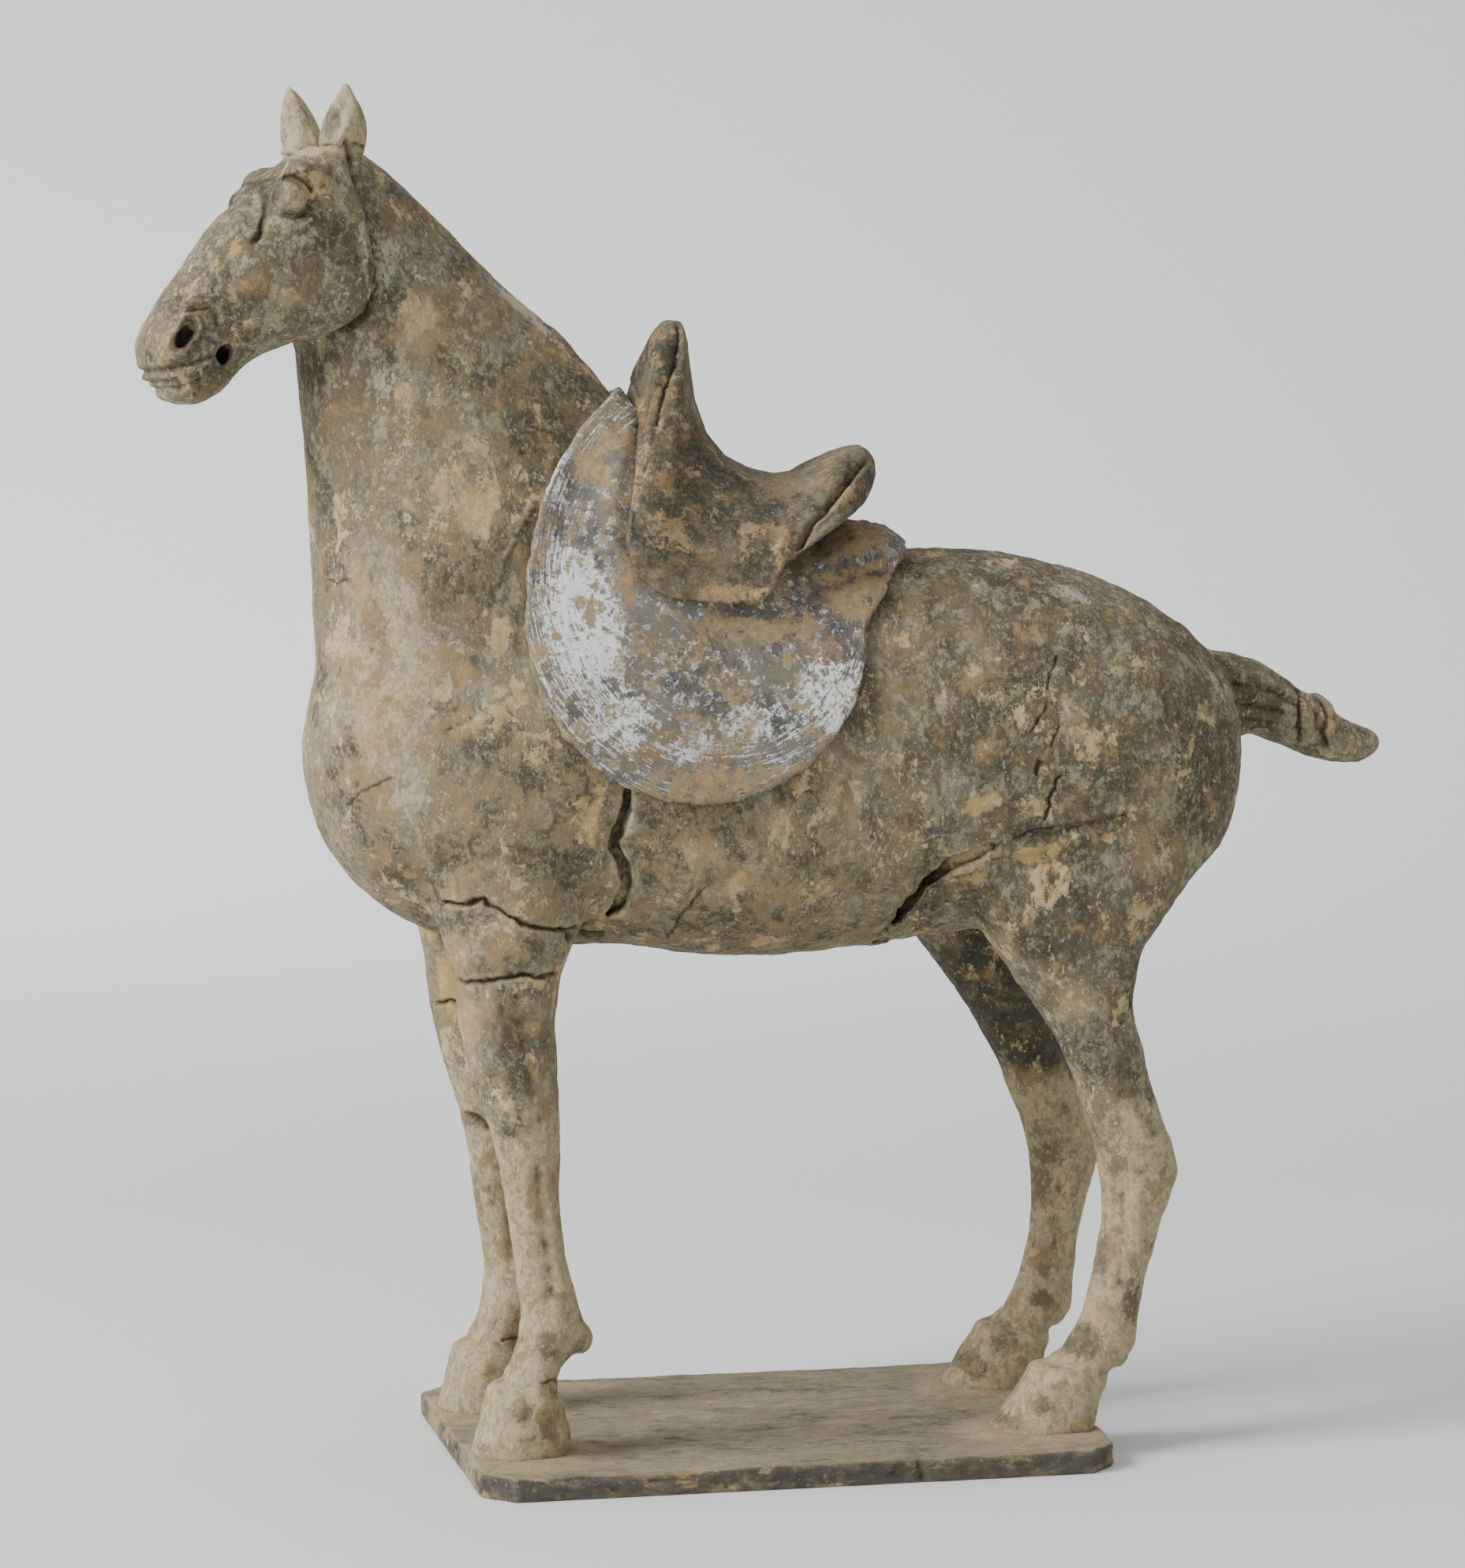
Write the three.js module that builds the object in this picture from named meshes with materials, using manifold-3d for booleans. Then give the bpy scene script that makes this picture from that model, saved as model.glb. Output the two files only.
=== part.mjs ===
// Grey earthenware tomb figure of a standing, saddled horse on a thin slab.
// Millimetres, +Z up. The horse looks along -X and its left flank is on -Y.
// The origin is the centre of the slab's underside.
import * as THREE from 'three';
import { mergeVertices } from 'three/addons/utils/BufferGeometryUtils.js';
import Module from 'manifold-3d';

const wasm = await Module();
wasm.setup();

// Driving sizes
const horseHeight = 540; // hoof soles to ear tips
const slabThickness = 10;
const slabEndMargin = 1; // slab past the toes and the heels
const slabSideMargin = 27; // slab past the outer hoof walls
const slabCornerCut = 13;
const slabEdgeRound = 1;
const horseSideways = -6; // the horse stands this far off the slab's middle
const seatGap = 0.3; // between pieces that rest on each other
const clothThickness = 4;
const flapThickness = 5;
const breakWidth = 5; // the open breaks of the left flank

// The figure is laid out in parts: the horse is 540 parts tall, so one part is about a millimetre.
const partsTall = 540;
const part = horseHeight / partsTall;

// Stance, in parts
const hoofTrack = 45; // median plane to a hoof's middle
const hoofHalfWidth = 20;
const foreToe = -128.5;
const hindHeel = 128.5;
const headTurn = THREE.MathUtils.degToRad(18);
const poll = -165; // the head turns about an upright line here
const sideReach = 110; // wider than the figure, for cuts that go right through

// Sides round a section and steps along the piece
const trunkFacets = [24, 26];
const neckFacets = [20, 13];
const headFacets = [20, 15];
const earFacets = [10, 7];
const legSides = 14; // round each of a leg's stations
const tailFacets = [12, 13];
const saddleFacets = [24, 16];
const ballFacets = [9, 6];
const outlineSegments = 7; // for each curve of a side-view outline

function plain(geometry) {
  const bare = geometry.clone();
  bare.deleteAttribute('normal');
  bare.deleteAttribute('uv');
  return mergeVertices(bare, 1e-4);
}

function solid(geometry) {
  const merged = plain(geometry);
  const vertProperties = Float32Array.from(merged.attributes.position.array);
  const triVerts = Uint32Array.from(merged.index.array);
  return new wasm.Manifold(new wasm.Mesh({ numProp: 3, vertProperties, triVerts }));
}

function join(solids) {
  return solids.reduce((whole, next) => whole.add(next));
}

// A section runs from (x1, z1) to (x2, z2) in the side view, halfWidth to each side of its middle,
// which stands side off the median plane. Taper narrows it towards its second end, and power is 2
// for an ellipse, more for a boxy section and less for a pointed one.
// A station is [x1, z1, x2, z2, halfWidth, side, taper, power].
function loft(stations, [sides, steps], grow = 0) {
  const curves = [0, 2, 4, 6].map((first) => new THREE.SplineCurve(
    stations.map((row) => new THREE.Vector2(row[first], row[first + 1])),
  ));
  const positions = [];
  for (let step = 0; step <= steps; step += 1) {
    const [start, end, breadth, form] = curves.map((curve) => curve.getPoint(step / steps));
    const middle = start.clone().add(end).multiplyScalar(0.5 * part);
    const along = end.clone().sub(start);
    const halfDepth = 0.5 * part * along.length() + grow;
    along.normalize();
    for (let side = 0; side < sides; side += 1) {
      const angle = (2 * Math.PI * side) / sides;
      const lengthwise = rounded(Math.cos(angle), form.y);
      const sideways = rounded(Math.sin(angle), form.y);
      const halfWidth = (part * breadth.x + grow) * (1 - form.x * lengthwise);
      positions.push(
        middle.x + along.x * halfDepth * lengthwise,
        part * breadth.y + halfWidth * sideways,
        middle.y + along.y * halfDepth * lengthwise,
      );
    }
  }
  return closed(positions, sides, steps);
}

function rounded(value, power) {
  return Math.sign(value) * Math.abs(value) ** (2 / power);
}

// Skins rings of equal length and closes both ends with a fan.
function closed(positions, sides, steps) {
  const index = [];
  for (let step = 0; step < steps; step += 1) {
    for (let side = 0; side < sides; side += 1) {
      const next = (side + 1) % sides;
      const a = step * sides + side;
      const b = step * sides + next;
      index.push(a, b, b + sides, a, b + sides, a + sides);
    }
  }
  for (const ring of [0, steps]) {
    const centre = positions.length / 3;
    const middle = [0, 1, 2].map((axis) => {
      let sum = 0;
      for (let side = 0; side < sides; side += 1) sum += positions[3 * (ring * sides + side) + axis];
      return sum / sides;
    });
    positions.push(...middle);
    for (let side = 0; side < sides; side += 1) {
      const a = ring * sides + side;
      const b = ring * sides + ((side + 1) % sides);
      index.push(...(ring === 0 ? [centre, b, a] : [centre, a, b]));
    }
  }
  const geometry = new THREE.BufferGeometry();
  geometry.setAttribute('position', new THREE.Float32BufferAttribute(positions, 3));
  geometry.setIndex(signedVolume(positions, index) < 0 ? index.reverse() : index);
  return geometry;
}

function signedVolume(positions, index) {
  const corners = index.map((at) => new THREE.Vector3().fromArray(positions, 3 * at));
  let volume = 0;
  for (let at = 0; at < corners.length; at += 3) {
    volume += corners[at].dot(corners[at + 1].clone().cross(corners[at + 2]));
  }
  return volume;
}

// A side-view outline carried straight through between two distances from the median plane.
function sideCut(shape, nearSide = -sideReach * part, farSide = sideReach * part) {
  const depth = farSide - nearSide;
  const options = { depth, bevelEnabled: false, curveSegments: outlineSegments };
  const geometry = new THREE.ExtrudeGeometry(shape, options);
  geometry.rotateX(Math.PI / 2);
  geometry.translate(0, farSide, 0);
  return geometry;
}

// An egg on one side (hand) of the median plane, nodding by its tilt, swollen by grow
function egg({ at: [x, y, z], radii, tilt = 0 }, hand = 1, grow = 0) {
  const geometry = new THREE.SphereGeometry(1, ...ballFacets);
  geometry.scale(...radii.map((radius) => radius * part + grow));
  geometry.rotateY(tilt);
  geometry.translate(x * part, hand * y * part, z * part);
  return geometry;
}

// Trunk: stations from the rump to the breast, each from the belly to the back
const trunkStations = [
  [201, 268, 201, 282, 10, 0, 0, 2],
  [196, 240, 195, 308, 34, 0, 0, 2],
  [183, 222, 182, 323, 50, 0, 0, 2.1],
  [157, 212, 157, 340, 62, 0, 0, 2.2],
  [122, 203, 122, 353, 66, 0, 0, 2.2],
  [82, 200, 82, 359, 63, 0, 0.02, 2.2],
  [40, 195, 40, 359, 60, 0, 0.05, 2.2],
  [0, 191, 0, 364, 60, 0, 0.1, 2.2],
  [-32, 193, -32, 385, 60, 0, 0.18, 2.2],
  [-64, 198, -64, 423, 59, 0, 0.3, 2.1],
  [-98, 197, -98, 424, 58, 0, 0.32, 2],
  [-132, 202, -132, 392, 55, 0, 0.22, 2],
  [-160, 217, -160, 356, 47, 0, 0.1, 2],
  [-179, 240, -179, 318, 34, 0, 0, 2],
  [-187, 268, -187, 282, 10, 0, 0, 2],
];

function trunk(grow) {
  return solid(loft(trunkStations, trunkFacets, grow));
}

// Neck: stations from the shoulders to the poll, each from the throat to the crest
function neck(grow) {
  return solid(loft([
    [-174, 268, -15, 356, 55, 0, 0.2, 2],
    [-182, 308, -45, 396, 51, 0, 0.28, 2],
    [-184, 345, -62, 421, 44, 0, 0.3, 2],
    [-185, 375, -79, 442, 38, 0, 0.3, 2],
    [-187, 402, -101, 459, 34, 0, 0.3, 2],
    [-189, 426, -122, 480, 30, 0, 0.28, 2],
    [-190, 448, -143, 500, 26, 0, 0.25, 2],
    [-187, 474, -160, 514, 22, 0, 0.2, 2],
    [-182, 498, -170, 517, 17, 0, 0.1, 2],
  ], neckFacets, grow));
}

// Trunk and neck, swollen by grow: what the cloth and the saddle are shaped over
function barrel(grow) {
  return trunk(grow).add(neck(grow));
}

function turnedHead(geometry) {
  geometry.translate(-poll * part, 0, 0);
  geometry.rotateZ(headTurn);
  geometry.translate(poll * part, 0, 0);
  return solid(geometry);
}

// Keeps what lies before the crisp rear edge of the cheek discs.
function jawOutline() {
  const jaw = { x: -197, z: 467, radius: 27 };
  const jawRear = (jaw.x + jaw.radius) * part;
  const shape = new THREE.Shape();
  shape.moveTo(-290 * part, 400 * part);
  shape.lineTo(-290 * part, 545 * part);
  shape.lineTo(-186 * part, 545 * part);
  shape.lineTo(-183 * part, 517 * part);
  shape.bezierCurveTo(-177 * part, 503 * part, jawRear, 490 * part, jawRear, jaw.z * part);
  shape.absarc(jaw.x * part, jaw.z * part, jaw.radius * part, 0, -Math.PI / 2, true);
  shape.lineTo(-250 * part, 400 * part);
  return shape;
}

// What stands out of the head or is sunk into it, on each side
const eyeball = { at: [-204.5, 22.5, 493.5], radii: [7.5, 6, 7.5] };
const brow = { at: [-198, 20, 505], radii: [11, 5.5, 4.5], tilt: -0.2 };
const nostrilRim = { at: [-245, 12, 440], radii: [9, 7, 9] };
const nostril = { at: [-246, 19, 439], radii: [5, 6, 4], tilt: 0.8 };
const mouthCorner = { at: [-231, 18, 433], radii: [2.6, 9, 4] };
const earHollow = { at: [-189.5, 27.5, 521], radii: [5, 4, 12], tilt: 0.2 };

// Head: stations from the poll to the lips, each from the jaw to the forehead and nose
function head() {
  const skull = turnedHead(loft([
    [-148, 468, -162, 516, 21, 0, 0, 2.2],
    [-150, 452, -175, 519, 26, 0, 0.05, 2.5],
    [-157, 439, -194, 512, 30, 0, 0.1, 2.7],
    [-170, 437, -205, 504, 31, 0, 0.15, 2.7],
    [-187, 437, -222, 489, 29, 0, 0.2, 2.6],
    [-202, 436, -232, 477, 25, 0, 0.2, 2.4],
    [-215, 430, -243, 462, 20, 0, 0.15, 2.3],
    [-223, 421, -250, 453, 19, 0, 0.1, 2.2],
    [-231, 415, -254, 445, 19, 0, 0.05, 2.2],
    [-241, 413, -257, 438, 16, 0, 0, 2.2],
    [-250, 417, -255, 431, 9, 0, 0, 2],
  ], headFacets)).intersect(turnedHead(sideCut(jawOutline())));
  const added = [];
  const taken = [];
  for (const hand of [-1, 1]) {
    added.push(...[eyeball, brow, nostrilRim].map((form) => turnedHead(egg(form, hand))));
    added.push(ear(hand));
    taken.push(...[nostril, mouthCorner, earHollow].map((form) => turnedHead(egg(form, hand))));
  }
  return join([skull, ...added]).subtract(join(taken));
}

// Ear: a leaf that stands on the poll, from its base to its tip. The right one stands taller and
// the left one is broader, towards the front.
function ear(hand) {
  const rise = hand > 0 ? 2 : -2;
  const forward = hand > 0 ? 0.5 : 3.5;
  return turnedHead(loft([
    [-185, 500, -172, 500, 7, hand * 12, 0, 2],
    [-187 - forward / 2, 510, -170, 510, 8, hand * 17, 0, 2],
    [-187 - forward, 520 + rise / 2, -169, 521 + rise / 2, 8, hand * 22, 0, 2],
    [-184 - forward, 530 + rise, -173, 531 + rise, 5, hand * 25, 0, 2],
    [-181, 538 + rise, -179, 538 + rise, 1.2, hand * 26, 0, 2],
  ], earFacets));
}

const tuftRadii = [5, 6, 7];
const tuftTilt = 0.3;

// Foreleg: stations from the shoulder to the sole, each from the front to the back
function foreleg(hand) {
  const stations = [
    [-152, 262, -60, 262, 24, 28, 0, 2],
    [-141, 218, -78, 214, 24, 33, 0, 2],
    [-134, 190, -90, 190, 20, 38, 0, 2.1],
    [-131, 168, -93, 168, 18, 40, 0, 2.2],
    [-125, 146, -92, 146, 16, 41, 0, 2.3],
    [-119, 128, -91, 128, 15, 42, 0, 2.2],
    [-115, 107, -92, 107, 12, 43, 0, 2],
    [-111, 80, -90, 80, 11, 44, 0, 2],
    [-108, 58, -84, 58, 12, hoofTrack, 0, 2],
    [-109, 46, -81, 44, 13, hoofTrack, 0, 2],
    [-111, 38, -91, 36, 12.5, hoofTrack, 0, 2],
    [-115, 31, -93, 30, 13.5, hoofTrack, 0, 2],
    [-121.5, 25, -92, 22, 17, hoofTrack, 0, 2.2],
    [-124.5, 13, -88, 12, 19.3, hoofTrack, 0, 2.3],
    [foreToe, 0, -88, 0, hoofHalfWidth, hoofTrack, 0, 2.3],
  ];
  const tuft = { at: [-83, hoofTrack, 45], radii: tuftRadii, tilt: tuftTilt };
  return leg(stations, hand, 0, 0, tuft);
}

// Hind leg: stations from the thigh to the sole, each from the front to the back
function hindleg(hand, step, lean) {
  const stations = [
    [72, 258, 196, 262, 30, 26, 0, 2.1],
    [74, 226, 186, 238, 29, 32, 0, 2.1],
    [84, 201, 166, 215, 26, 36, 0, 2.1],
    [98, 182, 150, 195, 21, 39, 0, 2.1],
    [112, 162, 145, 173, 18, 41, 0, 2.1],
    [122, 140, 151, 150, 16, 42, 0, 2.1],
    [130, 115, 160, 121, 14, 43, 0, 2.1],
    [133, 98, 166, 104, 14, 43, 0, 2.1],
    [133, 84, 159, 87, 12.5, 44, 0, 2],
    [129, 64, 152, 65, 11.5, 44, 0, 2],
    [124, 46, 148, 46, 12, hoofTrack, 0, 2],
    [119, 37, 146, 32, 13, hoofTrack, 0, 2],
    [115.5, 31.5, 137, 25, 13, hoofTrack, 0, 2],
    [104.5, 26.5, 133.5, 19.5, 16.5, hoofTrack, 0, 2.2],
    [95, 14, 130, 9, 19.2, hoofTrack, 0, 2.3],
    [85, 0, hindHeel, 0, hoofHalfWidth, hoofTrack, 0, 2.3],
  ];
  const tuft = { at: [139, hoofTrack, 30], radii: tuftRadii, tilt: tuftTilt };
  return leg(stations, hand, step, lean, tuft);
}

// A leg on the left (-1) or right (1), with the tuft behind its fetlock. Its hoof stands step
// further back than the stations say, and from there it leans forward. Each station is a ring of
// its own, so that the hoof's upper edge stays crisp.
function leg(stations, hand, step, lean, tuft) {
  const shift = (z) => step - lean * z;
  const posed = stations.map(([x1, z1, x2, z2, halfWidth, side, taper, power]) => [
    x1 + shift(z1), z1, x2 + shift(z2), z2, halfWidth, hand * side, taper, power,
  ]);
  const [tuftX, tuftY, tuftZ] = tuft.at;
  const lump = egg({ ...tuft, at: [tuftX + shift(tuftZ), tuftY, tuftZ] }, hand);
  return solid(loft(posed, [legSides, posed.length - 1])).add(solid(lump));
}

// Tail: docked and knotted, from the rump to its turned-up tip
function tail() {
  const dock = solid(loft([
    [188, 270, 184, 318, 15, 0, 0, 2],
    [206, 280, 203, 315, 15, 0, 0, 2],
    [219, 277, 217, 310, 14, 0, 0, 2],
    [231, 272, 230, 301, 12.5, 0, 0, 2],
    [240, 269, 240, 295, 10, 0, 0, 2],
    [250, 267, 252, 287, 9.5, 0, 0, 2],
    [259, 268, 260, 283, 8, 0, 0, 2],
    [265, 271, 265, 282, 6, 0, 0, 2],
    [268, 274, 268, 278, 2, 0, 0, 2],
  ], tailFacets));
  const loop = { x: 242, z: 283, radius: 11, thickness: 4.5, lean: 0.2 };
  const knot = new THREE.TorusGeometry(loop.radius * part, loop.thickness * part, 6, 12);
  knot.rotateY(Math.PI / 2 - loop.lean);
  knot.translate(loop.x * part, 0, loop.z * part);
  return dock.add(solid(knot));
}

// A slit with pointed ends along a side-view path, cut in from the left flank.
function slit(path, width, innerSide) {
  const points = path.map(([x, z]) => new THREE.Vector2(x * part, z * part));
  const left = [];
  const right = [];
  for (let at = 1; at < points.length - 1; at += 1) {
    const run = points[at + 1].clone().sub(points[at - 1]).normalize();
    const across = new THREE.Vector2(-run.y, run.x).multiplyScalar(width / 2);
    left.push(points[at].clone().add(across));
    right.unshift(points[at].clone().sub(across));
  }
  const shape = new THREE.Shape([points[0], ...left, points[points.length - 1], ...right]);
  return solid(sideCut(shape, -sideReach * part, innerSide * part));
}

// The open breaks of the left flank: behind the shoulder, and at the fold of the thigh
function flankBreaks() {
  return join([
    slit([[-66, 280], [-67, 262], [-69, 252], [-72, 243], [-66, 230], [-66, 219], [-75, 207]], breakWidth, -20),
    slit([[44, 202], [50, 211], [57, 224], [66, 232], [78, 237], [92, 242]], breakWidth, -25),
  ]);
}

// Saddle cloth: a shell that follows the horse's barrel, inside a round side-view outline
function clothOutline() {
  const lobe = { x: -38, z: 327, radius: 69 };
  const shape = new THREE.Shape();
  shape.moveTo(-55 * part, 460 * part);
  shape.lineTo(-55 * part, 426 * part);
  shape.bezierCurveTo(
    -88 * part, 406 * part, (lobe.x - lobe.radius) * part, 375 * part,
    (lobe.x - lobe.radius) * part, lobe.z * part,
  );
  shape.absarc(lobe.x * part, lobe.z * part, lobe.radius * part, Math.PI, 2 * Math.PI, false);
  shape.lineTo(58 * part, 365 * part);
  shape.lineTo(58 * part, 460 * part);
  return shape;
}

// The cloth stands up in a low pad over the spine behind the saddle.
const clothPad = { at: [36, 0, 351], radii: [30, 38, 20] };

function saddleCloth() {
  const inner = barrel(seatGap);
  const outer = barrel(seatGap + clothThickness);
  const outline = solid(sideCut(clothOutline()));
  return outer.add(solid(egg(clothPad))).intersect(outline).subtract(inner);
}

// Saddle: flaps that follow the barrel, and a seat between a pommel and a cantle. Each row of the
// seat leans back: where its middle stands, its ridge, how far it swells sideways, and its power.
function saddleOutline() {
  const shape = new THREE.Shape();
  shape.moveTo(-48 * part, 480 * part);
  shape.lineTo(-55 * part, 411 * part);
  shape.lineTo(-66 * part, 362 * part);
  shape.quadraticCurveTo(-66 * part, 340 * part, -40 * part, 338 * part);
  shape.lineTo(-22 * part, 336 * part);
  shape.quadraticCurveTo(-8 * part, 336 * part, -3 * part, 352 * part);
  shape.lineTo(70 * part, 400 * part);
  shape.lineTo(70 * part, 480 * part);
  return shape;
}

// The seat is hollowed in front of the cantle.
const seatHollow = { at: [20, 0, 407], radii: [24, 27, 13], tilt: -0.6 };

function saddle() {
  const reach = 2 * seatGap + clothThickness + flapThickness;
  const seatHalfWidth = 44 + reach / part;
  const rows = [
    [-68, -47, 438, 2, 1.5],
    [-67, -43, 449, 3, 1.5],
    [-57, -32, 449, 3, 1.5],
    [-51, -29.5, 424, 0, 1.6],
    [-42, -21.5, 402, 0, 1.8],
    [-30, -6, 391, 0, 2],
    [-20, 11, 389, 0, 2.1],
    [-13, 25, 396, 1, 2.2],
    [-7, 40, 401, 4, 2.2],
    [-1, 46, 393, 4, 2.1],
    [2, 43, 385, 3, 2.1],
  ];
  const middle = 342;
  const stations = rows.map(([axisX, ridgeX, ridgeZ, swell, power]) => [
    2 * axisX - ridgeX, 2 * middle - ridgeZ, ridgeX, ridgeZ, seatHalfWidth + swell, 0, 0, power,
  ]);
  const seat = solid(loft(stations, saddleFacets)).subtract(solid(egg(seatHollow)));
  const under = barrel(reach - flapThickness).add(solid(egg(clothPad, 1, seatGap)));
  const outline = solid(sideCut(saddleOutline()));
  return seat.add(barrel(reach)).intersect(outline).subtract(under);
}

// Slab: a plain plate with its corners cut off
function slab() {
  const halfLength = hindHeel * part + slabEndMargin;
  const halfWidth = (hoofTrack + hoofHalfWidth) * part + slabSideMargin;
  const cut = slabCornerCut;
  const round = slabEdgeRound;
  const corners = [];
  for (const [x, y] of [[1, 1], [-1, 1], [-1, -1], [1, -1]]) {
    const alongX = new THREE.Vector2(x * (halfLength - cut), y * (halfWidth - round));
    const alongY = new THREE.Vector2(x * (halfLength - round), y * (halfWidth - cut));
    corners.push(...(x * y > 0 ? [alongY, alongX] : [alongX, alongY]));
  }
  const geometry = new THREE.ExtrudeGeometry(new THREE.Shape(corners), {
    depth: slabThickness - 2 * round,
    bevelThickness: round,
    bevelSize: round,
    bevelSegments: 1,
  });
  geometry.translate(0, 0, round);
  return solid(geometry);
}

const earthenware = { roughness: 0.85, metalness: 0 };

function meshOf(name, body, color) {
  const { vertProperties, triVerts } = body.getMesh();
  const geometry = new THREE.BufferGeometry();
  geometry.setAttribute('position', new THREE.BufferAttribute(vertProperties, 3));
  geometry.setIndex(new THREE.BufferAttribute(triVerts, 1));
  const mesh = new THREE.Mesh(geometry, new THREE.MeshStandardMaterial({ color, ...earthenware }));
  mesh.name = name;
  return mesh;
}

function horse() {
  const body = join([
    barrel(0), head(), tail(),
    foreleg(-1), foreleg(1), hindleg(-1, 0, 0), hindleg(1, 4.5, 0.095),
  ]);
  return body.subtract(flankBreaks());
}

const figure = new THREE.Group();
figure.position.set(0, horseSideways, slabThickness + seatGap);
figure.add(meshOf('horse', horse(), 0x8a806b));
figure.add(meshOf('saddle_cloth', saddleCloth(), 0xa9a9a4));
figure.add(meshOf('saddle', saddle(), 0x5c5a52));

const tombHorse = new THREE.Group();
tombHorse.add(meshOf('base_plate', slab(), 0x8c8270));
tombHorse.add(figure);

export default tombHorse;
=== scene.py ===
import math

import bpy
import numpy as np
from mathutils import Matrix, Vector, noise


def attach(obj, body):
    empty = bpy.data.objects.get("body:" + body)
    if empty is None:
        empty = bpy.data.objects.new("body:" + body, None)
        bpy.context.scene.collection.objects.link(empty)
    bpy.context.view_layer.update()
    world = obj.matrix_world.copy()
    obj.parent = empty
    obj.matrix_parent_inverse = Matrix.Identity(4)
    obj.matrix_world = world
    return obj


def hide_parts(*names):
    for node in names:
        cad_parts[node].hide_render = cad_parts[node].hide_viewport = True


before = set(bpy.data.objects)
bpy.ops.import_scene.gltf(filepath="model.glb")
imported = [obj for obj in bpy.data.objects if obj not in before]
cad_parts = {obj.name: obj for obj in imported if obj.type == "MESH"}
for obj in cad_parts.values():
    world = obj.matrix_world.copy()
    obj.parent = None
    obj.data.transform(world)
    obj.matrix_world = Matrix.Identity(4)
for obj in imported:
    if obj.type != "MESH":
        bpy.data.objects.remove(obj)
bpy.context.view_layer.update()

# Camera: where the photograph was taken from, 1.7 m off the horse's left flank, a little ahead of
# its shoulder and a little below its ears. The long side of the picture fits a 36 mm sensor.
CAMERA_PLACE = Vector((-0.38109, -1.65674, 0.37186))
CAMERA_LOOK = Vector((0.2179, 0.9742, -0.0587))
CAMERA_LENS = 95.28
bpy.ops.object.camera_add(location=CAMERA_PLACE)
camera = bpy.context.active_object
camera.name = "photo_camera"
camera.rotation_mode = "QUATERNION"
camera.rotation_quaternion = CAMERA_LOOK.to_track_quat("-Z", "Y")
camera.data.lens = CAMERA_LENS
camera.data.sensor_width = 36
camera.data.clip_start = 0.05
camera.data.clip_end = 50
bpy.context.scene.camera = camera

# Studio: a pale round floor that sweeps up into a wall all the way round, so that no edge shows
# from any side. It is painted board, left out of the object.
FLOOR_REACH = 2.6
FLOOR_SIDES = 96
SWEEP_RADIUS = 5.0
SWEEP_STEPS = 18
WALL_TOP = 6.0
bpy.ops.mesh.primitive_circle_add(
    vertices=FLOOR_SIDES, radius=FLOOR_REACH, fill_type="TRIFAN", location=(0, 0, 0)
)
studio_floor = bpy.context.active_object
studio_floor.name = "studio_floor"
bpy.ops.object.mode_set(mode="EDIT")
bpy.ops.mesh.select_all(action="DESELECT")
bpy.ops.object.mode_set(mode="OBJECT")
for edge in studio_floor.data.edges:
    ends = [studio_floor.data.vertices[at].co for at in edge.vertices]
    edge.select = min(end.length for end in ends) > 0.99 * FLOOR_REACH
for vertex in studio_floor.data.vertices:
    vertex.select = vertex.co.length > 0.99 * FLOOR_REACH
bpy.ops.object.mode_set(mode="EDIT")
for step in range(1, SWEEP_STEPS + 1):
    before = math.radians(90 * (step - 1) / SWEEP_STEPS)
    after = math.radians(90 * step / SWEEP_STEPS)
    radius_before = FLOOR_REACH + SWEEP_RADIUS * math.sin(before)
    radius_after = FLOOR_REACH + SWEEP_RADIUS * math.sin(after)
    rise = SWEEP_RADIUS * (math.cos(before) - math.cos(after))
    bpy.ops.mesh.extrude_edges_move(TRANSFORM_OT_translate={"value": (0, 0, rise)})
    grow = radius_after / radius_before
    bpy.ops.transform.resize(value=(grow, grow, 1), center_override=(0, 0, 0))
bpy.ops.mesh.extrude_edges_move(TRANSFORM_OT_translate={"value": (0, 0, WALL_TOP - SWEEP_RADIUS)})
bpy.ops.mesh.select_all(action="SELECT")
bpy.ops.mesh.normals_make_consistent(inside=True)
bpy.ops.object.mode_set(mode="OBJECT")
bpy.ops.object.shade_smooth()
board = bpy.data.materials.new("pale_board")
board.use_nodes = True
board_shader = board.node_tree.nodes["Principled BSDF"]
board_shader.inputs["Base Color"].default_value = (0.72, 0.735, 0.72, 1)
board_shader.inputs["Roughness"].default_value = 0.9
board_shader.inputs["Specular IOR Level"].default_value = 0.1
studio_floor.data.materials.append(board)


# Light: one large soft box high on the left, before the horse's head, a weak wide one from the
# right, one overhead and one for the wall behind, with an even pale surround over the wall.
def soft_box(name, place, aim, width, watts):
    bpy.ops.object.light_add(type="AREA", location=place)
    lamp = bpy.context.active_object
    lamp.name = name
    lamp.data.shape = "SQUARE"
    lamp.data.size = width
    lamp.data.energy = watts
    lamp.rotation_mode = "QUATERNION"
    lamp.rotation_quaternion = (Vector(aim) - Vector(place)).to_track_quat("-Z", "Y")


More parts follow.
